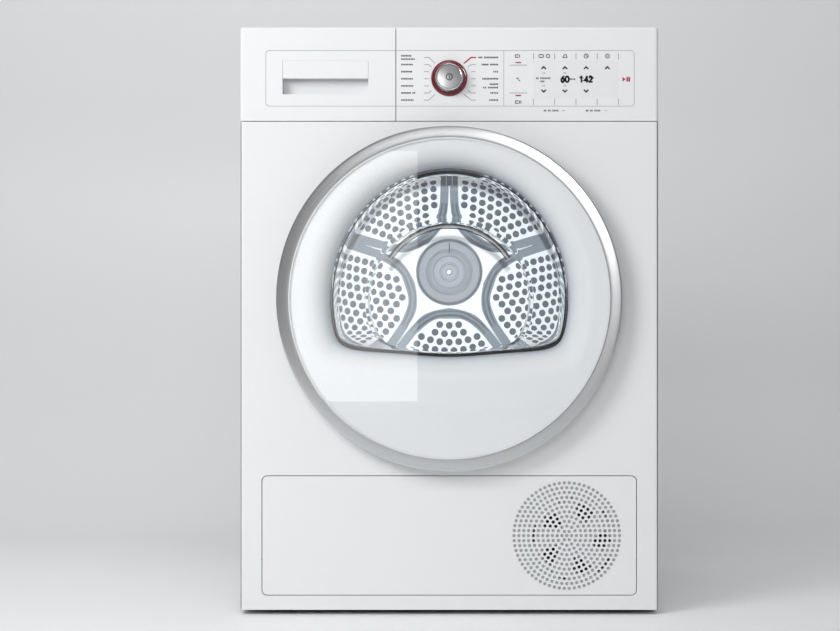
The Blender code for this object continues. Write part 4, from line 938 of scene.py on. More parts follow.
class DRYER_OT_program_marks(bpy.types.Operator):
    """Leader lines and generic marks on both sides of the knob"""
    bl_idname = "dryer.program_marks"
    bl_label = "Program marks"

    drop = 0.0009
    pitch = 0.01014
    left_words = (((0.0150,), (0.0200,)), ((0.0170,),), ((0.0162,),), ((0.0170,),), ((0.0175,),),
                  ((0.0142, 0.0045),), ((0.0182,),))
    right_words = (((0.0205, 0.0060),), ((0.0120, 0.0098),), ((0.0075,),), ((0.0230,),),
                   ((0.0125,), (0.0148, 0.0052)), ((0.0115,),), ((0.0132,),))

    def execute(self, context):
        line, depth = sizes().line, sizes().print_depth
        leaders, blocks, red = [], [], []
        for side, words, outer, knee, end in ((-1, self.left_words, 0.0357, 0.0292, 0.0205),
                                              (1, self.right_words, 0.0377, 0.0314, 0.0214)):
            for row in range(7):
                step = 3 - row
                z = KNOB.z - self.drop + step * self.pitch
                run = [(KNOB.x + side * outer, z), (KNOB.x + side * knee, z)]
                if abs(step) == 3:
                    run.append((KNOB.x + side * end, z - math.copysign(0.0080, step)))
                elif abs(step) == 2:
                    run.append((KNOB.x + side * (end + 0.0052), z - math.copysign(0.0036, step)))
                (red if side == 1 and step == 3 else leaders).append(run)
                far = KNOB.x + side * (0.0689 if side < 0 else 0.0700)
                rows = words[row]
                for i, lengths in enumerate(rows):
                    level = z + 0.0048 * ((len(rows) - 1) / 2 - i)
                    blocks += word_blocks(far, level, lengths, -side)
        finish(strokes("leader_lines", leaders, line * 1.3, FRONT, depth), "pale_ink", "cabinet",
               "white_plastic")
        finish(strokes("chosen_leader", red, line * 2.6, FRONT, depth), "red_ink", "cabinet", "red_light")
        finish(strokes("program_blocks", blocks, 0.00155, FRONT, depth), "ink", "cabinet", "dark_plastic")
        return {"FINISHED"}


class DRYER_OT_inlay_outline(bpy.types.Operator):
    """Fine outline that frames the drawer handle, the knob and the display"""
    bl_idname = "dryer.inlay_outline"
    bl_label = "Inlay outline"

    def execute(self, context):
        line, depth = 0.0006, sizes().print_depth
        left, right = -0.2620, 0.2643
        bottom, top = KNOB.z - 0.0400, KNOB.z + 0.0395
        split = (span("container_front")[1].x + span("control_fascia")[0].x) / 2
        corner = 0.005
        drawer = [(split - 0.0006, top)] + arc((left + corner, top - corner), corner, 90, 180, 6)
        drawer += arc((left + corner, bottom + corner), corner, 180, 270, 6) + [(split - 0.0006, bottom)]
        fascia = [(split + 0.0006, bottom)] + arc((right - corner, bottom + corner), corner, 270, 360, 6)
        fascia += arc((right - corner, top - corner), corner, 0, 90, 6) + [(split + 0.0006, top)]
        divide = [(0.0779, bottom), (0.0779, top)]
        finish(strokes("drawer_outline", [drawer], line, FRONT, depth), "pale_ink", "container",
               "white_plastic")
        finish(strokes("fascia_outline", [fascia, divide], line, FRONT, depth), "pale_ink", "cabinet",
               "white_plastic")
        return {"FINISHED"}


DIGITS = {
    "0": [arc((0.5, 0.5), 0.5, 0, 360, 16)],
    "1": [[(0.0, 0.78), (0.35, 1.0), (0.35, 0.0)]],
    "2": [arc((0.46, 0.70), 0.34, 165, -30, 8) + [(0.05, 0.03), (0.90, 0.03)]],
    "4": [[(0.70, 0.0), (0.70, 1.0), (0.0, 0.27), (0.98, 0.27)]],
    "6": [[(0.80, 1.0), (0.42, 0.80), (0.16, 0.48)], arc((0.5, 0.33), 0.36, 0, 360, 12)],
    ":": [[(0.1, 0.20), (0.1, 0.34)], [(0.1, 0.66), (0.1, 0.80)]],
}


class DRYER_OT_display(bpy.types.Operator):
    """Display film with its ticks, arrows, numbers and key symbols"""
    bl_idname = "dryer.display"
    bl_label = "Display"

    first = 0.1203
    pitch = 0.03035
    keys_x = 0.0986

    def execute(self, context):
        depth = sizes().print_depth
        low, high = span("display_window")
        film = plate("display_film",
                     [rounded_rectangle((self.first, KNOB.z - 0.0283), (0.2417, KNOB.z + 0.0255), 0.001)],
                     FRONT - depth * 0.6, FRONT + 0.001)
        finish(smooth(film), "display_film", "cabinet", "display_panel")
        self.build_ticks()
        self.build_arrows()
        self.build_memory_keys()
        self.start_key()
        self.number("minutes", "60", 0.1596, 0.0079)
        self.number("time_left", "1:42", 0.1872, 0.0079)
        return {"FINISHED"}

    def build_ticks(self):
        ticks = []
        for i in range(5):
            x = self.first + i * self.pitch
            ticks.append([(x, KNOB.z + 0.0268), (x, KNOB.z + 0.0358)])
            ticks.append([(x, KNOB.z - 0.0295), (x, KNOB.z - 0.0380)])
        for z in (0.0186, -0.0212):
            ticks.append([(self.keys_x - 0.0125, KNOB.z + z), (self.keys_x + 0.0125, KNOB.z + z)])
        self.mark("display_ticks", ticks, sizes().line * 1.25, "pale_ink", "white_plastic")

    def build_arrows(self):
        arrows, icons, words, small = [], [], [], []
        for i in range(4):
            x = self.first + (i + 0.48) * self.pitch
            arrows.append(self.chevron(x, KNOB.z + 0.0148, 1))
            if i < 3:
                arrows.append(self.chevron(x, KNOB.z - 0.0184, -1))
            if i < 2:
                for z in (0.0074, -0.0108):
                    small += word_blocks(x - 0.0022, KNOB.z + z, (0.0044,), 1, 0.0022)
            icons += self.icon(i, x, KNOB.z + 0.0316)
        words += word_blocks(0.1238, KNOB.z - 0.0002, (0.0040, 0.0150), 1)
        words += word_blocks(0.1300, KNOB.z - 0.0046, (0.0062,), 1)
        words += word_blocks(0.1718, KNOB.z - 0.0014, (0.0084,), 1, 0.0022)
        words += word_blocks(0.2044, KNOB.z + 0.0006, (0.0022,), 1, 0.0024)
        for x in (0.1349, 0.1949):
            words += word_blocks(x, KNOB.z - 0.0464, (0.0040, 0.0042, 0.0090), 1, 0.0024)
            small += word_blocks(x + 0.0265, KNOB.z - 0.0464, (0.0042,), 1, 0.0014)
        self.mark("arrows", arrows, 0.0021, "ink", "dark_plastic")
        self.mark("small_icons", icons, 0.0010, "ink", "dark_plastic")
        self.mark("word_marks", words, 0.0015, "ink", "dark_plastic")
        self.mark("faint_marks", small, 0.0011, "pale_ink", "white_plastic")

    def build_memory_keys(self):
        """The two memory keys and the symbol between them."""
        memory = []
        for level, bars in ((0.0315, 1), (-0.0342, 2)):
            memory.append(rounded_rectangle((self.keys_x - 0.0040, KNOB.z + level - 0.0018),
                                            (self.keys_x, KNOB.z + level + 0.0018), 0.0004, 2))
            for i in range(bars):
                x = self.keys_x + 0.0018 + i * 0.0020
                memory.append([(x, KNOB.z + level - 0.0021), (x, KNOB.z + level + 0.0021)])
        memory += self.icon(4, self.keys_x, KNOB.z - 0.0012)
        self.mark("memory_marks", memory, 0.0011, "ink", "dark_plastic")
        dashes = [[(self.keys_x - 0.0039, KNOB.z + z), (self.keys_x + 0.0039, KNOB.z + z)]
                  for z in (0.0223, -0.0249)]
        self.mark("memory_dashes", dashes, 0.0018, "red_ink", "red_light")

    def mark(self, name, lines, width, ink_name, slot):
        finish(strokes(name, lines, width, FRONT - sizes().print_depth * 0.5, sizes().print_depth),
               ink_name, "cabinet", slot)

    def chevron(self, x, z, up):
        return [(x - 0.0027, z - up * 0.0013), (x, z + up * 0.0013), (x + 0.0027, z - up * 0.0013)]

    def icon(self, kind, x, z):
        """Small generic symbols: two rings, an iron-like wedge, a clock, a ring, a key."""
        if kind == 0:
            oval = arc((x - 0.0048, z), 0.0022, 60, 300, 10) + arc((x - 0.0022, z), 0.0022, -120, 120, 10)
            return [oval + oval[:1], circle((x + 0.0062, z), 0.0026, 14) + [(x + 0.0088, z)]]
        if kind == 1:
            return [[(x - 0.0030, z - 0.0022), (x + 0.0030, z - 0.0022), (x + 0.0022, z + 0.0016),
                     (x - 0.0006, z + 0.0020), (x - 0.0030, z - 0.0022)]]
        if kind == 2:
            hand = [(x, z + 0.0018), (x, z), (x + 0.0015, z - 0.0008)]
            return [circle((x, z), 0.0030, 16) + [(x + 0.0030, z)], hand]
        if kind == 3:
            return [circle((x, z), 0.0028, 16) + [(x + 0.0028, z)], [(x - 0.0012, z), (x + 0.0012, z)]]
        return [[(x - 0.0028, z + 0.0012), (x, z + 0.0012), (x, z - 0.0004)],
                [(x + 0.0006, z - 0.0016), (x + 0.0028, z - 0.0030)]]

    def start_key(self):
        """Triangle and two bars of the start and pause key."""
        x, z = 0.2476, KNOB.z - 0.0016
        half = 0.0033
        triangle = plate("start_triangle", [[(x, z - half), (x + 0.0045, z), (x, z + half)]],
                         FRONT - sizes().print_depth, FRONT)
        finish(smooth(triangle), "red_ink", "cabinet", "red_light")
        bars = [[(x + 0.0066 + i * 0.0029, z - half), (x + 0.0066 + i * 0.0029, z + half)] for i in range(2)]
        finish(strokes("pause_bars", bars, 0.0023, FRONT, sizes().print_depth), "red_ink", "cabinet",
               "red_light")

    def number(self, name, body, x, height):
        """A number drawn with plain strokes."""
        width = height * 0.62
        lines = []
        for sign in body:
            for line in DIGITS[sign]:
                lines.append([(x + u * width, KNOB.z - 0.0016 + (v - 0.5) * height) for u, v in line])
            x += width * (0.62 if sign in "1:" else 1.30)
        self.mark(name, lines, 0.0026, "ink", "dark_plastic")


# ---------------------------------------------------------------- knob
class DRYER_OT_knob(bpy.types.Operator):
    """Chrome program knob, its red light ring and the on/off key in its middle"""
    bl_idname = "dryer.knob"
    bl_label = "Program knob"

    def execute(self, context):
        ring_low, ring_high = span("knob_light_ring")
        low, high = span("program_knob")
        key_low, key_high = span("power_button")
        radius = (high.x - low.x) / 2
        outer = (ring_high.x - ring_low.x) / 2
        centre = (KNOB.x, 0, KNOB.z)
        profile = [(outer - 0.0006, ring_high.y)]
        profile += [(outer - 0.0030 + 0.0030 * math.cos(t), ring_high.y - 0.0031 * math.sin(t))
                    for t in (0.0, 0.3, 0.6, 0.9, 1.2, math.pi / 2)]
        profile += [(radius + 0.0010, ring_low.y), (radius + 0.0010, ring_high.y)]
        ring = smooth(lathe("light_ring", profile, centre, 96, closed=True))
        finish(ring, "red_light", "cabinet", "red_light", "knob_light_ring")
        pocket = (key_high.x - key_low.x) / 2 + 0.0004
        front = low.y
        edge = [(radius, FRONT - 0.0012), (radius, front + 0.0052), (radius - 0.0004, front + 0.0044)]
        crown = 0.0016
        middle_radius = radius - 0.0004 - crown
        edge += [(middle_radius + crown * math.cos(t), front + crown - crown * math.sin(t))
                 for t in (0.0, 0.4, 0.8, 1.2, math.pi / 2)]
        edge += [(pocket + 0.0004, front + 0.0003), (pocket, front + 0.0008), (pocket, key_high.y + 0.0016),
                 (0, key_high.y + 0.0016)]
        knob = lathe("knob_body", [(0, high.y), (0.006, high.y), (0.006, FRONT - 0.0012)] + edge, centre, 128)
        finish(smooth(knob, 30), "chrome", "knob", "chrome", "program_knob")
        dish = []
        reach = pocket - 0.0006
        for i in range(9):
            share = i / 8
            dish.append((reach * (1 - share), key_low.y + 0.0002 + 0.0014 * (1 - (1 - share) ** 2)))
        key = lathe("power_key", [(0, key_high.y), (reach + 0.0002, key_high.y),
                                  (reach + 0.0002, key_low.y + 0.0006)] + dish, centre, 96)
        finish(smooth(key, 30), "key_steel", "power_key", "ring_steel", "power_button")
        sign = tube("power_sign", [(KNOB.x + a, key_low.y + 0.00145, KNOB.z + b)
                                   for a, b in arc((0, 0), 0.0043, 0, 360, 36)[:-1]],
                    0.0008, 0.5, closed=True)
        finish(smooth(sign), "ink", "power_key", "dark_plastic")
        bar = box("power_bar", (KNOB.x - 0.0006, key_low.y + 0.0010, KNOB.z - 0.0024),
                  (KNOB.x + 0.0006, key_low.y + 0.0018, KNOB.z + 0.0024))
        finish(smooth(soften(bar, 0.0002)), "ink", "power_key", "dark_plastic")
        return {"FINISHED"}


# ---------------------------------------------------------------- door
def window_point(angle, grow, half_width, top, widest, bottom):
    """A point of the D outline at a polar angle: half an ellipse over a slightly bowed edge."""
    reach_x, reach_z = half_width + grow, top - widest + grow
    c, s = math.cos(angle), math.sin(angle)
    ellipse = 1 / math.hypot(c / reach_x, s / reach_z)
    if s < -0.01:
        straight = (widest - bottom + grow) * (1 - 0.12 * c * c) / -s
        ellipse = (ellipse ** -10 + straight ** -10) ** -0.1
    return ellipse * c, widest + ellipse * s


WINDOW = {"half_width": 0.171, "top": 0.1866, "widest": -0.0015, "bottom": -0.0845}
BOWL = {"half_width": 0.117, "top": 0.110, "widest": -0.0015, "bottom": -0.080}
DOOR_POINTS = 144


def door_angles():
    return [math.tau * (i + 0.5) / DOOR_POINTS for i in range(DOOR_POINTS)]


def window_section(depth, grow, shape=None):
    points = [window_point(angle, grow, **(shape or WINDOW)) for angle in door_angles()]
    return [(x, depth, DOOR.z + z) for x, z in points]


def circle_section(depth, radius):
    return [(radius * math.cos(a), depth, DOOR.z + radius * math.sin(a)) for a in door_angles()]


def shared(first, second, share):
    return [tuple(Vector(a).lerp(Vector(b), share)) for a, b in zip(first, second)]


class DRYER_OT_door_ring(bpy.types.Operator):
    """Brushed metal ring and the flat glass pane inside it"""
    bl_idname = "dryer.door_ring"
    bl_label = "Door ring and pane"

    def execute(self, context):
        low, high = span("door_ring")
        outer = DOOR_RADIUS
        inner = PANE_RADIUS + 0.0006
        front, back = low.y, high.y
        centre = (DOOR.x, 0, DOOR.z)
        drop = 0.0020
        face = []
        for i in range(9):
            share = i / 8
            face.append((outer - 0.0010 - (outer - inner - 0.0018) * share,
                         front + drop * (1 - share) ** 1.6))
        profile = [(outer - 0.0008, back), (outer, back - 0.0008), (outer, front + drop + 0.0010)]
        profile += face + [(inner + 0.0003, front + 0.0003), (inner, front + 0.0009), (inner, back)]
        ring = smooth(lathe("ring_metal", profile, centre, 288, closed=True), 40)
        finish(ring, "ring_steel", "door", "ring_steel", "door_ring")
        pane_low, pane_high = span("door_pane")
        radius = PANE_RADIUS - 0.0016
        pane = lathe("pane_glass", [(0, pane_high.y), (radius, pane_high.y), (radius, pane_low.y + 0.0005),
                                    (radius - 0.0005, pane_low.y), (0, pane_low.y)], centre, 192)
        finish(smooth(pane), "pane_glass", "door", "clear_glass", "door_pane")
        lip = lathe("pane_lip", [(inner - 0.0002, pane_high.y), (inner - 0.0002, pane_low.y + 0.0004),
                                 (radius + 0.0002, pane_low.y + 0.0001), (radius + 0.0002, pane_high.y)],
                    centre, 192, closed=True)
        finish(smooth(lip), "white_plastic", "door", "white_plastic")
        return {"FINISHED"}


class DRYER_OT_door_bowl(bpy.types.Operator):
    """White inner panel that dips to the window, the gasket and the clear window bowl"""
    bl_idname = "dryer.door_bowl"
    bl_label = "Door bowl and window"

    def execute(self, context):
        low, high = span("door_bowl_panel")
        flat = span("door_pane")[1].y + 0.0013
        rim = span("window_gasket")[0].y - 0.0013
        outer = (high.x - low.x) / 2
        sections = [circle_section(flat, outer)]
        dip_width = 0.0365
        for i in range(25):
            share = i / 24
            dip = 1 - math.sqrt(max(0.0, 1 - share ** 2.2))
            sections.append(window_section(flat + (rim - flat) * dip, dip_width * (1 - share)))
        panel = smooth(thicken(skin("bowl_panel", sections), 0.0014), 50)
        finish(panel, "bowl_plastic", "door", "white_plastic", "door_bowl_panel")
        gasket_low, gasket_high = span("window_gasket")
        loops = [window_section(gasket_low.y, 0.0085), self.lip(gasket_low.y, 0.0),
                 self.lip(gasket_low.y + 0.0006, -0.0010), self.lip(gasket_high.y, -0.0010),
                 window_section(gasket_high.y, 0.0085)]
        finish(smooth(skin("window_seal", loops, ring=True)), "rubber", "door", "black_rubber",
               "window_gasket")
        glass_low, glass_high = span("door_window")
        flange, end = glass_low.y + 0.002, glass_high.y - 0.002
        rim_loop = window_section(flange, -0.004)
        nose = window_section(end, 0.004, BOWL)
        sections = [window_section(flange, 0.0075), rim_loop]
        for i in range(1, 13):
            share = i / 13
            ring = shared(rim_loop, nose, share)
            depth = flange + (end - 0.004 - flange) * share ** 0.8
            sections.append([(x, depth, z) for x, y, z in ring])
        for angle in (0.5, 0.9, 1.25, math.pi / 2):
            grow = 0.004 - 0.010 * (1 - math.cos(angle))
            depth = end - 0.004 + 0.004 * math.sin(angle)
            sections.append(window_section(depth, grow, BOWL))
        inner = sections[-1]
        middle_point = (0.0, end, DOOR.z + 0.012)
        for share in (0.35, 0.7, 0.93):
            dome = [tuple(Vector(p).lerp(Vector(middle_point), share)) for p in inner]
            sections.append(dome)
        window = thicken(skin("window_bowl", sections, cap_last=True), 0.0036)
        finish(smooth(window, 60), "window_glass", "door", "clear_glass", "door_window")
        self.build_ridge(end)
        return {"FINISHED"}

    def lip(self, depth, grow):
        """Inner edge of the gasket, which shows most along the window's lower edge."""
        points = []
        for angle in door_angles():
            reach = grow + 0.0002 - 0.0046 * max(0.0, -math.sin(angle)) ** 0.6
            x, z = window_point(angle, reach, **WINDOW)
            points.append((x, depth, DOOR.z + z))
        return points

    def build_ridge(self, end):
        """Bead along the upper edge of the bowl's nose: a bright chrome bead between two thin dark tubes of
        painted shade, which stand for the dark streaks the thick glass throws there by refraction.
        """
        # painted shade: the two dark tubes stand for dark refraction streaks in the glass
        lines = (("groove_outer", 0.0030, 0.0011, "dark_plastic"), ("bead", 0.0, 0.0017, "chrome"),
                 ("groove_inner", -0.0030, 0.0008, "dark_plastic"))
        for name, grow, radius, finish_name in lines:
            points = []
            for i in range(49):
                angle = math.radians(34 + 112 * i / 48)
                x, z = window_point(angle, grow, half_width=0.104, top=0.106, widest=0.0, bottom=-0.08)
                points.append((x, end - 0.0056, DOOR.z + z))
            ridge = tube("bowl_" + name, points, radius, 1.0, resolution=4)
            finish(smooth(ridge, 80), finish_name, "door", finish_name)


class DRYER_OT_door_back(bpy.types.Operator):
    """Rear moulding of the door with its plug, knuckles and seal"""
    bl_idname = "dryer.door_back"
    bl_label = "Door back"

    def execute(self, context):
        low, high = span("door_back_frame")
        back = FRONT - 0.008
        skirt, plug = 0.222, 0.203
        plug_end = high.y - 0.001
        clear = 0.0055
        sections = [circle_section(low.y + 0.001, skirt), circle_section(back - 0.002, skirt),
                    circle_section(back - 0.0006, skirt - 0.0006), circle_section(back, skirt - 0.002),
                    circle_section(back, plug + 0.002), circle_section(back + 0.0006, plug + 0.0006),
                    circle_section(back + 0.002, plug), circle_section(plug_end - 0.006, plug - 0.002),
                    circle_section(plug_end - 0.002, plug - 0.0032),
                    circle_section(plug_end, plug - 0.0065), window_section(plug_end, clear + 0.002),
                    window_section(plug_end - 0.001, clear + 0.0006),
                    window_section(FRONT + 0.018, clear)]
        frame_shell = thicken(skin("door_moulding", sections), 0.0019)
        pocket = box("pocket", (0.2172, FRONT - 0.030, DOOR.z - 0.040),
                     (0.256, FRONT + 0.002, DOOR.z + 0.040))
        carve(frame_shell, pocket)
        smooth(frame_shell, 40)
        finish(frame_shell, "white_plastic", "door", "white_plastic", "door_back_frame")
        hinge = middle("hinge_bracket")
        pin_x, pin_y = 0.236, FRONT - 0.022
        pin_x = span("hinge_bracket")[1].x - 0.005
        for side, tag in ((-1, "lower"), (1, "upper")):
            z0, z1 = sorted((DOOR.z + side * 0.024, DOOR.z + side * 0.034))
            leaf = box("leaf_" + tag, (0.2005, pin_y - 0.0024, z0), (pin_x, pin_y + 0.0024, z1))
            post = box("post", (0.2005, pin_y - 0.0024, z0), (0.2155, back, z1))
            knuckle = rod("knuckle", (pin_x, pin_y, z0 + 0.0001), (pin_x, pin_y, z1 - 0.0001), 0.005, 32)
            carve(leaf, post, knuckle, operation="UNION")
            carve(leaf, rod("bore", (pin_x, pin_y, z0 - 0.01), (pin_x, pin_y, z1 + 0.01), 0.0036, 24))
            finish(smooth(soften(leaf, 0.0004, 2, 60)), "satin_steel", "door", "stainless")
        seal_low, seal_high = span("door_seal")
        inner = 0.2135
        profile = [(inner, seal_low.y), (inner, seal_high.y - 0.0016), (inner + 0.0007, seal_high.y - 0.0004),
                   (inner + 0.0015, seal_high.y), (inner + 0.0023, seal_high.y - 0.0004),
                   (inner + 0.0030, seal_high.y - 0.0016), (inner + 0.0030, seal_low.y)]
        seal = smooth(lathe("door_lip_seal", profile, (DOOR.x, 0, DOOR.z), 192, closed=True))
        finish(seal, "rubber", "door", "black_rubber", "door_seal")
        for i in range(8):
            angle = math.radians(22.5 + 45 * i)
            place = (0.1905 * math.cos(angle), plug_end + 0.0009, DOOR.z + 0.1905 * math.sin(angle))
            if abs(math.sin(angle)) < 0.5 or math.sin(angle) < 0:
                head = screw_head("door_screw_" + str(i), place, 0.0035, 1.0)
                finish(head, "satin_steel", "door", "stainless")
        return {"FINISHED"}


# ---------------------------------------------------------------- drum
def cut_corners(points, rounds=3):
    """Round an open run of points by cutting its corners; both ends stay."""
    for _ in range(rounds):
        better = [points[0]]
        for a, b in zip(points, points[1:]):
            a, b = Vector(a), Vector(b)
            better.append(tuple(a.lerp(b, 0.25)))
            better.append(tuple(a.lerp(b, 0.75)))
        better.append(points[-1])
        points = better
    return points


def on_wall(points, angle):
    """Points (outwards, sideways) of a field turned into (x, z) on the drum's back wall."""
    c, s = math.cos(angle), math.sin(angle)
    return [(u * c - v * s, DRUM.z + u * s + v * c) for u, v in points]


def beside_spoke(radius, offset):
    """Point at a radius that stands off the spoke line by an offset, in field coordinates."""
    angle = math.pi / 5 - math.asin(offset / radius)
    return radius * math.cos(angle), radius * math.sin(angle)


def room_inside(point, outline):
    """Distance from a point to the outline, below zero when the point lies outside."""
    px, py = point
    nearest = 1.0
    inside = False
    for (x0, y0), (x1, y1) in zip(outline, outline[1:] + outline[:1]):
        along = ((px - x0) * (x1 - x0) + (py - y0) * (y1 - y0)) / max(1e-12, (x1 - x0) ** 2 + (y1 - y0) ** 2)
        share = min(1.0, max(0.0, along))
        nearest = min(nearest, math.hypot(px - x0 - share * (x1 - x0), py - y0 - share * (y1 - y0)))
        if (y0 > py) != (y1 > py) and px < x0 + (py - y0) * (x1 - x0) / (y1 - y0):
            inside = not inside
    return nearest if inside else -nearest


class DRYER_OT_drum_back(bpy.types.Operator):
    """Back wall of the drum: five perforated fields, pressed bands, spokes and the hub"""
    bl_idname = "dryer.drum_back"
    bl_label = "Drum back"

    inner = 0.0780
    outer = 0.2120
    half_spoke = 0.0150
    band_inner = 0.0602

    def execute(self, context):
        wall = BACK_WALL
        radius = DRUM_RADIUS - 0.0018
        # painted shade: a dark sheet just behind the fields, so the holes show shade
        base = lathe("back_wall", [(0, wall + 0.0050), (radius, wall + 0.0050), (radius, wall + 0.0030),
                                   (radius - 0.004, wall + 0.0024), (0, wall + 0.0024)],
                     (0, 0, DRUM.z), 192)
        finish(smooth(base), "drum_hole", "drum", "white_enamel", "drum_back")
        fields = []
        for number in range(5):
            angle = math.radians(270 + 72 * number)
            outline = on_wall(self.field(), angle)
            fields.append(outline)
            self.build_field(number + 1, angle, outline, wall)
            self.build_crease(number + 1, angle, wall)
        self.build_bands(fields, wall)
        self.build_centre(wall)
        return {"FINISHED"}

    def field(self):
        """Outline of a field: rounded towards the hub, straight beside the spokes."""
        side = [beside_spoke(self.outer, self.half_spoke), beside_spoke(0.127, self.half_spoke),
                (0.0970, 0.0490), (self.inner, 0.0250), (self.inner, 0.0)]
        half = cut_corners(side)
        mirrored = [(u, -v) for u, v in half[-2::-1]]
        reach = math.pi / 5 - math.asin(self.half_spoke / self.outer)
        rim = [(self.outer * math.cos(t), self.outer * math.sin(t))
               for t in [reach * (i / 8 - 1) for i in range(1, 16)]]
        return half + mirrored + rim

    def star_side(self):
        """Side of the centre plate between two of its tips, in field coordinates."""
        half = [beside_spoke(0.150, 0.0006), beside_spoke(0.120, 0.0017), beside_spoke(0.100, 0.0036),
                beside_spoke(0.084, 0.0066), (0.0640, 0.0240), (self.band_inner, 0.0)]
        half = half[:2] + cut_corners(half[2:])
        return [(u, -v) for u, v in half] + half[-2::-1]

    def hole_places(self):
        """Staggered rows of holes on arcs round the hub, kept inside the field."""
        pitch, hole = sizes().drum_pitch, sizes().drum_hole
        places = []
        radius = self.inner + pitch * 0.72
        row = 0
        while radius < self.outer + pitch * 0.4:
            angle_step = pitch / radius
            half_step = 0.5 if row % 2 else 0.0
            for i in range(-9, 9):
                a = (i + half_step) * angle_step
                places.append((radius * math.cos(a), radius * math.sin(a)))
            radius += pitch * 0.88
            row += 1
        outline = self.field()
        return [place for place in places if room_inside(place, outline) > hole + 0.0014]

    def build_field(self, number, angle, outline, wall):
        holes = [circle(place, sizes().drum_hole, 20) for place in on_wall(self.hole_places(), angle)]
        sheet = plate("drum_field_" + str(number), [outline] + holes, wall - 0.0002, wall + 0.0022)
        soften(sheet, 0.0004, 2, 50)
        finish(smooth(sheet, 50), "drum_field", "drum", "white_enamel")

    def build_bands(self, fields, wall):
        """Grey sheet that runs round the fields and between them, out to the drum's wall."""
        star = []
        for number in range(5):
            star += on_wall(self.star_side(), math.radians(270 + 72 * number))
        radius = DRUM_RADIUS - 0.0022
        sheet = plate("band_sheet", [circle((0, DRUM.z), radius, 128), star] + fields,
                      wall + 0.0008, wall + 0.0020)
        finish(smooth(sheet, 50), "drum_steel", "drum", "stainless")

    def build_crease(self, number, angle, wall):
        """Raised crown along the middle of the band round a field's inner end."""
        path = [beside_spoke(0.118, 0.0085), beside_spoke(0.100, 0.0105), (0.0800, 0.0400),
                (0.0700, 0.0220), (0.0692, 0.0)]
        half = cut_corners(path)
        line = half + [(u, -v) for u, v in half[-2::-1]]
        points = [(x, wall + 0.0012, z) for x, z in on_wall(line, angle)]
        bead = tube("band_crown_" + str(number), points, 0.0052, 0.22, resolution=4)
        finish(smooth(bead, 70), "drum_steel", "drum", "stainless")

    def build_centre(self, wall):
        """Bright star plate between the bands, the spokes' beads and the hub cap."""
        star = []
        for number in range(5):
            star += on_wall(self.star_side(), math.radians(270 + 72 * number))
        finish(smooth(plate("centre_star", [star], wall - 0.0002, wall + 0.0022), 50),
               "drum_field", "drum", "stainless")
        for number in range(5):
            angle = math.radians(90 + 72 * number)
            along, across = (math.cos(angle), math.sin(angle)), (-math.sin(angle), math.cos(angle))
            runs = [(0.119, 0.150, 0.0, 0.0010)]
            if number == 0:
                runs = [(0.150, 0.225, -0.0052, 0.0005), (0.150, 0.225, 0.0052, 0.0005)]
            for i, (start, end, shift, thick) in enumerate(runs):
                points = [(r * along[0] + shift * across[0], wall + 0.0003,
                           DRUM.z + r * along[1] + shift * across[1]) for r in (start, end)]
                bead = tube("spoke_bead_" + str(number * 2 + i + 1), points, thick)
                finish(smooth(bead), "drum_field", "drum", "stainless")
        low, high = span("drum_hub_cap")
        radius = (high.x - low.x) / 2
        front = low.y
        profile = [(0, wall - 0.0004), (radius + 0.0028, wall - 0.0004), (radius + 0.0030, wall - 0.0014),
                   (radius + 0.0016, wall - 0.0020), (radius + 0.0002, wall - 0.0012)]
        profile += [(radius, front + 0.0058), (radius - 0.0008, front + 0.0038), (radius - 0.0030, front + 0.0024)]
        for at, deep in ((0.74, 0.0012), (0.70, 0.0020), (0.665, 0.0024), (0.64, 0.0016), (0.52, 0.0008),
                         (0.50, 0.0014), (0.47, 0.0009), (0.31, 0.0005), (0.285, 0.0018), (0.25, 0.0019),
                         (0.225, 0.0006), (0.10, 0.0002), (0.085, 0.0016), (0.0, 0.0018)):
            profile.append((radius * at, front + deep))
        cap = lathe("hub_cap", profile, (0, 0, DRUM.z), 160)
        finish(smooth(cap, 25), "hub_steel", "drum", "ring_steel", "drum_hub_cap")
        # painted shade: the notch is drawn as a dark bar through the cap, not cut, its darkness standing for the
        # shade in the cut
        notch = box("hub_notch", (-0.0006, front + 0.0004, DRUM.z + radius * 0.60),
                    (0.0006, front + 0.0030, DRUM.z + radius * 0.92))
        finish(smooth(notch), "dark_plastic", "drum", "dark_plastic")
        stud = lathe("hub_stud", [(0, front + 0.0020), (0.0034, front + 0.0020), (0.0034, front + 0.0010),
                                  (0.0026, front + 0.0001), (0, front + 0.0001)], (0, 0, DRUM.z), 32)
        finish(smooth(stud, 30), "chrome", "drum", "chrome")


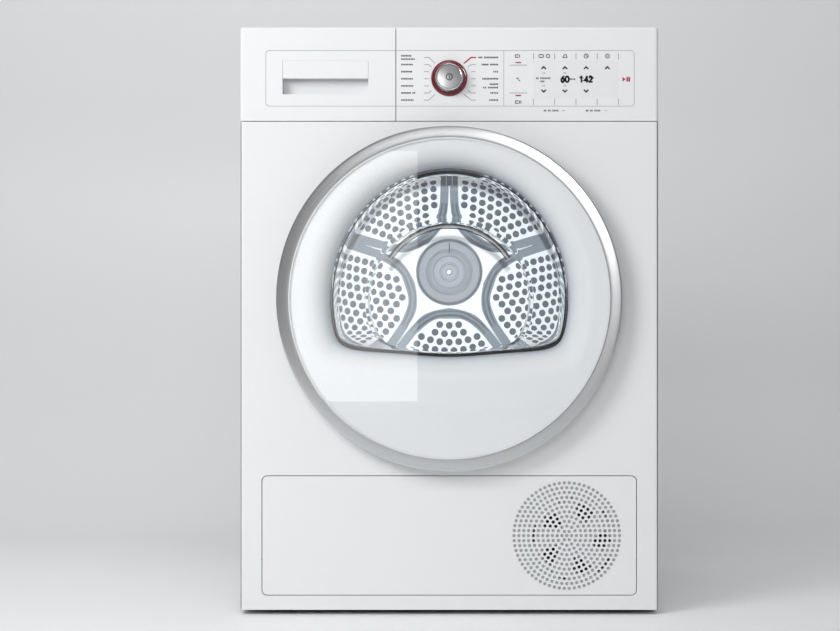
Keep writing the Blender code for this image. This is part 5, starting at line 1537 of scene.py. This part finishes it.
class DRYER_OT_drum_shell(bpy.types.Operator):
    """Drum wall and the lifters inside it"""
    bl_idname = "dryer.drum_shell"
    bl_label = "Drum shell"

    def execute(self, context):
        low, high = span("drum_shell")
        radius = DRUM_RADIUS
        mouth = radius - 0.043
        wall = 0.0014
        y0, y1 = low.y, high.y
        outer = [(radius, y1), (radius, y0 + 0.006), (radius - 0.0012, y0 + 0.002),
                 (radius - 0.005, y0), (mouth, y0)]
        inner = [(mouth, y0 + wall), (radius - 0.006, y0 + wall), (radius - wall, y0 + 0.007),
                 (radius - wall, y1)]
        ribs = []
        for share in (0.18, 0.5, 0.82):
            y = y0 + (y1 - y0) * share
            ribs += [(radius - wall, y - 0.008), (radius - wall - 0.002, y - 0.004),
                     (radius - wall - 0.002, y + 0.004), (radius - wall, y + 0.008)]
        shell = lathe("drum_wall", outer + inner[:-1] + ribs + inner[-1:], (0, 0, DRUM.z), 192, closed=True)
        finish(smooth(shell, 40), "satin_steel", "drum", "stainless", "drum_shell")
        for number in range(3):
            self.build_lifter(number, mouth)
        return {"FINISHED"}

    def build_lifter(self, number, mouth):
        """Hollow-looking ridge with a rounded crest and tapered ends."""
        angle = math.radians(30 + 120 * number)
        start, end = span("lifter_1")[0].y, span("lifter_1")[1].y
        base = math.sqrt((DRUM_RADIUS - 0.0015) ** 2 - 0.035 ** 2) - 0.0014
        sections = []
        for share, tall in ((0.0, 0.02), (0.03, 0.45), (0.09, 0.9), (0.18, 1.0), (0.5, 1.0), (0.82, 1.0),
                            (0.91, 0.9), (0.97, 0.45), (1.0, 0.02)):
            y = start + (end - start) * share
            section = []
            for i in range(25):
                t = i / 24
                x = 0.0345 * math.cos(math.pi * t)
                height = 0.045 * tall * math.sin(math.pi * t) ** 1.5
                section.append(Vector((x, y, base - height)))
            turn = Matrix.Rotation(angle, 3, "Y")
            sections.append([tuple(turn @ p + Vector((0, 0, DRUM.z))) for p in section])
        bm = bmesh.new()
        rows = [[bm.verts.new(p) for p in section] for section in sections]
        for near, far in zip(rows, rows[1:]):
            for i in range(len(near)):
                j = (i + 1) % len(near)
                bm.faces.new((near[i], near[j], far[j], far[i]))
        bm.faces.new(rows[0])
        bm.faces.new(rows[-1][::-1])
        bmesh.ops.recalc_face_normals(bm, faces=bm.faces)
        ridge = object_of("drum_lifter_" + str(number + 1), bm)
        finish(smooth(ridge, 50), "pale_grey_plastic", "drum", "grey_plastic",
               "lifter_" + str(number + 1))


# ---------------------------------------------------------------- flap, grille and fan
class DRYER_OT_service_flap(bpy.types.Operator):
    """Service flap with the round field of vent holes"""
    bl_idname = "dryer.service_flap"
    bl_label = "Service flap"

    def execute(self, context):
        low, high = span("service_flap")
        outline = rounded_rectangle((low.x, low.z), (high.x, high.z), 0.007)
        flap = plate("flap_skin", [outline, circle((GRILLE.x, GRILLE.z), GRILLE_RADIUS - 0.0004, 160)],
                     FRONT, FRONT + 0.0022)
        soften(flap, 0.0004, 2, 50)
        finish(smooth(flap), "white_plastic", "flap", "white_plastic", "service_flap")
        rim = plate("flap_rim",
                    [outline, rounded_rectangle((low.x + 0.002, low.z + 0.014), (high.x - 0.002, high.z - 0.002), 0.005)],
                    FRONT + 0.0022, high.y)
        trim = box("rim_trim", (low.x - 0.01, FRONT, low.z - 0.01), (high.x + 0.01, high.y + 0.01, low.z + 0.0142))
        carve(rim, trim)
        finish(smooth(soften(rim, 0.0003, 2, 60)), "white_plastic", "flap", "white_plastic")
        pitch, hole = sizes().grille_pitch, sizes().grille_hole
        holes = [circle((GRILLE.x, GRILLE.z), hole, 14)]
        for ring in range(1, sizes().grille_rings + 1):
            for i in range(6 * ring):
                angle = math.tau * i / (6 * ring)
                place = (GRILLE.x + ring * pitch * math.cos(angle), GRILLE.z + ring * pitch * math.sin(angle))
                holes.append(circle(place, hole, 14))
        disc = plate("vent_disc", [circle((GRILLE.x, GRILLE.z), GRILLE_RADIUS - 0.0003, 160)] + holes,
                     FRONT, FRONT + 0.0012)
        finish(smooth(soften(disc, 0.0002, 1, 60), 60), "white_plastic", "flap", "white_plastic",
               "vent_grille")
        self.build_baffle()
        return {"FINISHED"}

    def build_baffle(self):
        """Grey baffle close behind the holes, open where the fan's blades leave gaps."""
        gaps = []
        for number in range(5):
            angle = math.radians(68 + 72 * number)
            shape = [(0.024, -0.20), (0.030, 0.16), (0.050, 0.34), (0.053, 0.02), (0.046, -0.30)]
            gaps.append([(FAN.x + r * math.cos(angle + a), FAN.z + r * math.sin(angle + a))
                         for r, a in shape])
            for first, last in ((24, 52),):
                rim = arc((FAN.x, FAN.z), 0.0560, 68 + 72 * number - last, 68 + 72 * number - first, 8)
                rim += arc((FAN.x, FAN.z), 0.0590, 68 + 72 * number - first, 68 + 72 * number - last, 8)
                gaps.append(rim)
        baffle = plate("vent_baffle", [circle((GRILLE.x, GRILLE.z), GRILLE_RADIUS - 0.0006, 128)] + gaps,
                       FRONT + 0.0018, FRONT + 0.0030)
        finish(smooth(baffle, 50), "baffle_grey", "flap", "grey_plastic")


class DRYER_OT_cooling_fan(bpy.types.Operator):
    """Five-bladed cooling fan in its shroud behind the vent holes"""
    bl_idname = "dryer.cooling_fan"
    bl_label = "Cooling fan"

    def execute(self, context):
        low, high = span("fan_rotor")
        reach = (span("fan_shroud")[1].x - span("fan_shroud")[0].x) / 2 - 0.012
        hub = 0.017
        front = low.y
        profile = [(0, front + 0.0165), (hub, front + 0.0165), (hub, front + 0.003),
                   (hub - 0.0012, front + 0.001), (hub - 0.004, front + 0.0002), (0, front)]
        rotor = lathe("fan_hub", profile, (FAN.x, 0, FAN.z), 64)
        finish(smooth(rotor), "pale_grey_plastic", "fan", "dark_plastic", "fan_rotor")
        for number in range(5):
            self.build_blade(number, reach, hub, front)
        return {"FINISHED"}

    def build_blade(self, number, reach, hub, front):
        """A broad twisted blade with a rounded tip."""
        middle_angle = math.radians(36 + 72 * number)
        bm = bmesh.new()
        rows = []
        for i in range(9):
            share = i / 8
            radius = hub - 0.001 + (reach - hub) * share
            half = math.radians(24 + 5 * math.sin(math.pi * share))
            row = []
            for j in range(11):
                across = 2 * j / 10 - 1
                angle = middle_angle + half * across
                y = front + 0.0085 + 0.0052 * across + 0.0012 * math.cos(math.pi * across / 2)
                row.append(bm.verts.new((FAN.x + radius * math.cos(angle), y,
                                         FAN.z + radius * math.sin(angle))))
            rows.append(row)
        for near, far in zip(rows, rows[1:]):
            for j in range(10):
                bm.faces.new((near[j], near[j + 1], far[j + 1], far[j]))
        blade = thicken(object_of("fan_blade_" + str(number + 1), bm), 0.0014)
        finish(smooth(blade, 60), "pale_grey_plastic", "fan", "dark_plastic")


# ---------------------------------------------------------------- carried-over nodes and small parts
CARRIED = {
    "enamel": ("side_panel_left", "side_panel_right", "top_panel"),
    "white_plastic": ("container_tub", "loading_collar"),
    "galvanised": ("rear_panel", "rear_duct_cover", "front_bulkhead", "rear_bearing_bracket"),
    "satin_steel": ("hinge_bracket", "door_hook", "drum_shaft", "idler_arm"),
    "grey_plastic": ("base_tray", "support_roller_left", "support_roller_right", "blower_housing",
                     "idler_wheel", "exchanger_cover", "fan_shroud", "lint_filter"),
    "dark_plastic": ("door_latch_catch", "cover_lever_left", "cover_lever_right", "cable_inlet"),
    "rubber": ("foot_front_left", "foot_front_right", "foot_rear_left", "foot_rear_right", "drum_belt"),
    "fins": ("evaporator_coil", "condenser_coil", "motor_rotor"),
    "motor_paint": ("motor_housing", "compressor"),
    "felt": ("drum_front_seal",),
}


class DRYER_OT_carried_nodes(bpy.types.Operator):
    """Finishes of the parts whose own shape is shown"""
    bl_idname = "dryer.carried_nodes"
    bl_label = "Finishes of carried-over parts"

    def execute(self, context):
        for finish_name, nodes in CARRIED.items():
            for node in nodes:
                piece = frame["nodes"][node]
                piece.data.materials.clear()
                piece.data.materials.append(material(finish_name))
        return {"FINISHED"}


class DRYER_OT_fasteners(bpy.types.Operator):
    """Screws of the rear panel, the rear duct cover and the hinge"""
    bl_idname = "dryer.fasteners"
    bl_label = "Screws"

    def execute(self, context):
        low, high = span("rear_panel")
        rear = high.y
        places = []
        for x in (low.x + 0.012, high.x - 0.012):
            for share in (0.04, 0.35, 0.65, 0.96):
                places.append((x, rear, low.z + (high.z - low.z) * share))
        places += [(x, rear, z) for x in (-0.15, 0.15) for z in (low.z + 0.012, high.z - 0.012)]
        for i, place in enumerate(places):
            finish(screw_head("rear_screw_" + str(i + 1), place, 0.0042, 1.0), "satin_steel", "cabinet",
                   "stainless")
        cover = middle("rear_duct_cover")
        radius = (span("rear_duct_cover")[1].x - span("rear_duct_cover")[0].x) / 2 - 0.008
        for i in range(8):
            angle = math.radians(22.5 + 45 * i)
            place = (cover.x + radius * math.cos(angle), rear + 0.0016, cover.z + radius * math.sin(angle))
            finish(screw_head("cover_screw_" + str(i + 1), place, 0.0038, 1.0), "satin_steel", "cabinet",
                   "stainless")
        plate_front = span("hinge_bracket")[0].z
        for side in (-1, 1):
            place = (0.2275, FRONT - 0.0033, DOOR.z + side * 0.028)
            finish(screw_head("hinge_screw_" + ("upper" if side > 0 else "lower"), place, 0.0032, -1.0, 0.0015),
                   "satin_steel", "cabinet", "stainless")
        return {"FINISHED"}


# ---------------------------------------------------------------- stage
RING_PIECES = ("ring_metal", "knob_body", "power_key", "light_ring")
DRUM_PIECES = ("back_wall", "drum_field", "band_sheet", "band_crown", "centre_star", "spoke_bead",
               "hub_cap", "hub_notch", "hub_stud", "drum_wall", "drum_lifter")


def aim(lamp, place, target):
    lamp.location = place
    lamp.rotation_euler = (Vector(target) - Vector(place)).to_track_quat("-Z", "Y").to_euler()


class DRYER_OT_stage(bpy.types.Operator):
    """Floor, backdrop, lights and the camera"""
    bl_idname = "dryer.stage"
    bl_label = "Stage"

    def execute(self, context):
        self.build_floor()
        self.build_lights()
        self.build_camera()
        return {"FINISHED"}

    def build_floor(self):
        """A floor that sweeps up into a backdrop."""
        bm = bmesh.new()
        wall, bend = 1.60, 0.9
        line = [(-6.0, 0.0)] + [(wall - bend + bend * math.sin(t), bend - bend * math.cos(t))
                                for t in [math.pi / 2 * i / 16 for i in range(17)]] + [(wall, 5.0)]
        rows = [[bm.verts.new((x, y, z)) for y, z in line] for x in (-7.0, 7.0)]
        for i in range(len(line) - 1):
            bm.faces.new((rows[0][i], rows[1][i], rows[1][i + 1], rows[0][i + 1]))
        floor = object_of("studio_floor", bm)
        floor.data.shade_smooth()
        floor.data.materials.append(stage_paint("stage_paint", tuple(colours().wall), 0.35))

    def soft_box(self, name, place, target, width, height, power, glossy=True, diffuse=True,
                 receivers=None):
        """Area lamp; receivers limits it to the pieces whose names start with the given words."""
        light = bpy.data.lights.new(name, "AREA")
        light.shape = "RECTANGLE"
        light.size = width
        light.size_y = height
        light.energy = power
        lamp = bpy.data.objects.new(name, light)
        bpy.context.scene.collection.objects.link(lamp)
        aim(lamp, place, target)
        lamp.visible_glossy = glossy
        lamp.visible_diffuse = diffuse
        lamp.visible_transmission = False
        if receivers:
            group = bpy.data.collections.new(name + "_receivers")
            for piece in bpy.data.objects:
                if piece.type == "MESH" and piece.name.startswith(receivers):
                    group.objects.link(piece)
            lamp.light_linking.receiver_collection = group

    def build_lights(self):
        height = DOOR.z
        self.soft_box("key", (-1.12, -1.75, 1.32), (0.0, FRONT, 0.64), 0.9, 0.9, 20, glossy=False)
        self.soft_box("front", (-0.20, -3.6, 1.5), (0, FRONT, 0.6), 1.0, 1.0, 18, glossy=False)
        self.soft_box("card", (-0.55, -3.30, 0.515), (-0.55, 0, 0.515), 0.92, 0.71, 7.5, diffuse=False,
                      receivers=("pane_glass",))
        self.soft_box("ring_upper", (1.16, -3.3, height + 1.12), (0, FRONT, height), 0.7, 0.5, 34,
                      receivers=RING_PIECES)
        self.soft_box("ring_top", (-0.35, -3.3, height + 1.20), (0, FRONT, height), 0.8, 0.3, 3,
                      receivers=RING_PIECES)
        self.soft_box("ring_right", (1.3, -3.3, height + 0.10), (0, FRONT, height), 0.5, 0.9, 1.3,
                      receivers=RING_PIECES)
        self.soft_box("ring_lower", (-0.50, -3.3, 0.10), (0, FRONT, height), 0.5, 0.15, 0.4,
                      receivers=RING_PIECES)
        self.soft_box("top", (0.2, -0.4, 2.6), (0, 0, 0.8), 1.6, 1.2, 8)
        self.soft_box("backdrop", (-0.6, -1.2, 2.4), (-0.5, 1.6, 0.6), 2.0, 1.0, 22,
                      receivers=("studio_floor",))
        self.soft_box("drum_front", (0.0, -3.3, 0.597), (0, 0, 0.5), 0.03, 0.03, 30,
                      receivers=DRUM_PIECES)
        for angle in (0.0, 120.0, 240.0):
            turn = math.radians(angle)
            place = (0.245 * math.cos(turn), -0.165, DRUM.z + 0.245 * math.sin(turn))
            self.soft_box("drum_lamp_" + str(int(angle)), place, (0, BACK_WALL, DRUM.z), 0.10, 0.05, 0.80,
                          glossy=False)
        world = bpy.data.worlds.new("studio")
        bpy.context.scene.world = world
        world.use_nodes = True
        sky = world.node_tree.nodes["Background"]
        sky.inputs["Color"].default_value = (0.97, 0.985, 1.0, 1.0)
        sky.inputs["Strength"].default_value = 0.30

    def build_camera(self):
        """Level view from the front, at the height of the door's middle."""
        data = bpy.data.cameras.new("camera")
        distance, seen_width = 3.0, 1.200
        data.sensor_width = 36.0
        data.lens = 36.0 * distance / seen_width
        data.shift_x = -0.0348
        data.shift_y = -0.0204
        camera = bpy.data.objects.new("camera", data)
        camera.location = (0.0, FRONT - distance, DOOR.z)
        camera.rotation_euler = (math.pi / 2, 0, 0)
        bpy.context.scene.collection.objects.link(camera)
        bpy.context.scene.camera = camera
        bpy.context.scene.view_settings.view_transform = "Standard"


PIECE_OPERATORS = (
    DRYER_OT_front_panel, DRYER_OT_control_fascia, DRYER_OT_drawer, DRYER_OT_program_marks,
    DRYER_OT_inlay_outline, DRYER_OT_display, DRYER_OT_knob, DRYER_OT_door_ring, DRYER_OT_door_bowl,
    DRYER_OT_door_back, DRYER_OT_drum_back, DRYER_OT_drum_shell, DRYER_OT_service_flap,
    DRYER_OT_cooling_fan, DRYER_OT_carried_nodes, DRYER_OT_fasteners, DRYER_OT_stage,
)


class DRYER_PT_pieces(bpy.types.Panel):
    """Lists the dryer's pieces in the sidebar"""
    bl_label = "Clothes dryer"
    bl_idname = "DRYER_PT_pieces"
    bl_space_type = "VIEW_3D"
    bl_region_type = "UI"
    bl_category = "Dryer"

    def draw(self, context):
        for operator in PIECE_OPERATORS:
            self.layout.operator(operator.bl_idname)


CLASSES = (DryerSizes, DryerColours) + PIECE_OPERATORS + (DRYER_PT_pieces,)


def register():
    for entry in CLASSES:
        bpy.utils.register_class(entry)
    bpy.types.Scene.dryer_sizes = bpy.props.PointerProperty(type=DryerSizes)
    bpy.types.Scene.dryer_colours = bpy.props.PointerProperty(type=DryerColours)


def unregister():
    del bpy.types.Scene.dryer_colours
    del bpy.types.Scene.dryer_sizes
    for entry in reversed(CLASSES):
        bpy.utils.unregister_class(entry)


def main():
    register()
    for operator in PIECE_OPERATORS:
        group, name = operator.bl_idname.split(".")
        getattr(getattr(bpy.ops, group), name)()


if __name__ == "__main__":
    main()
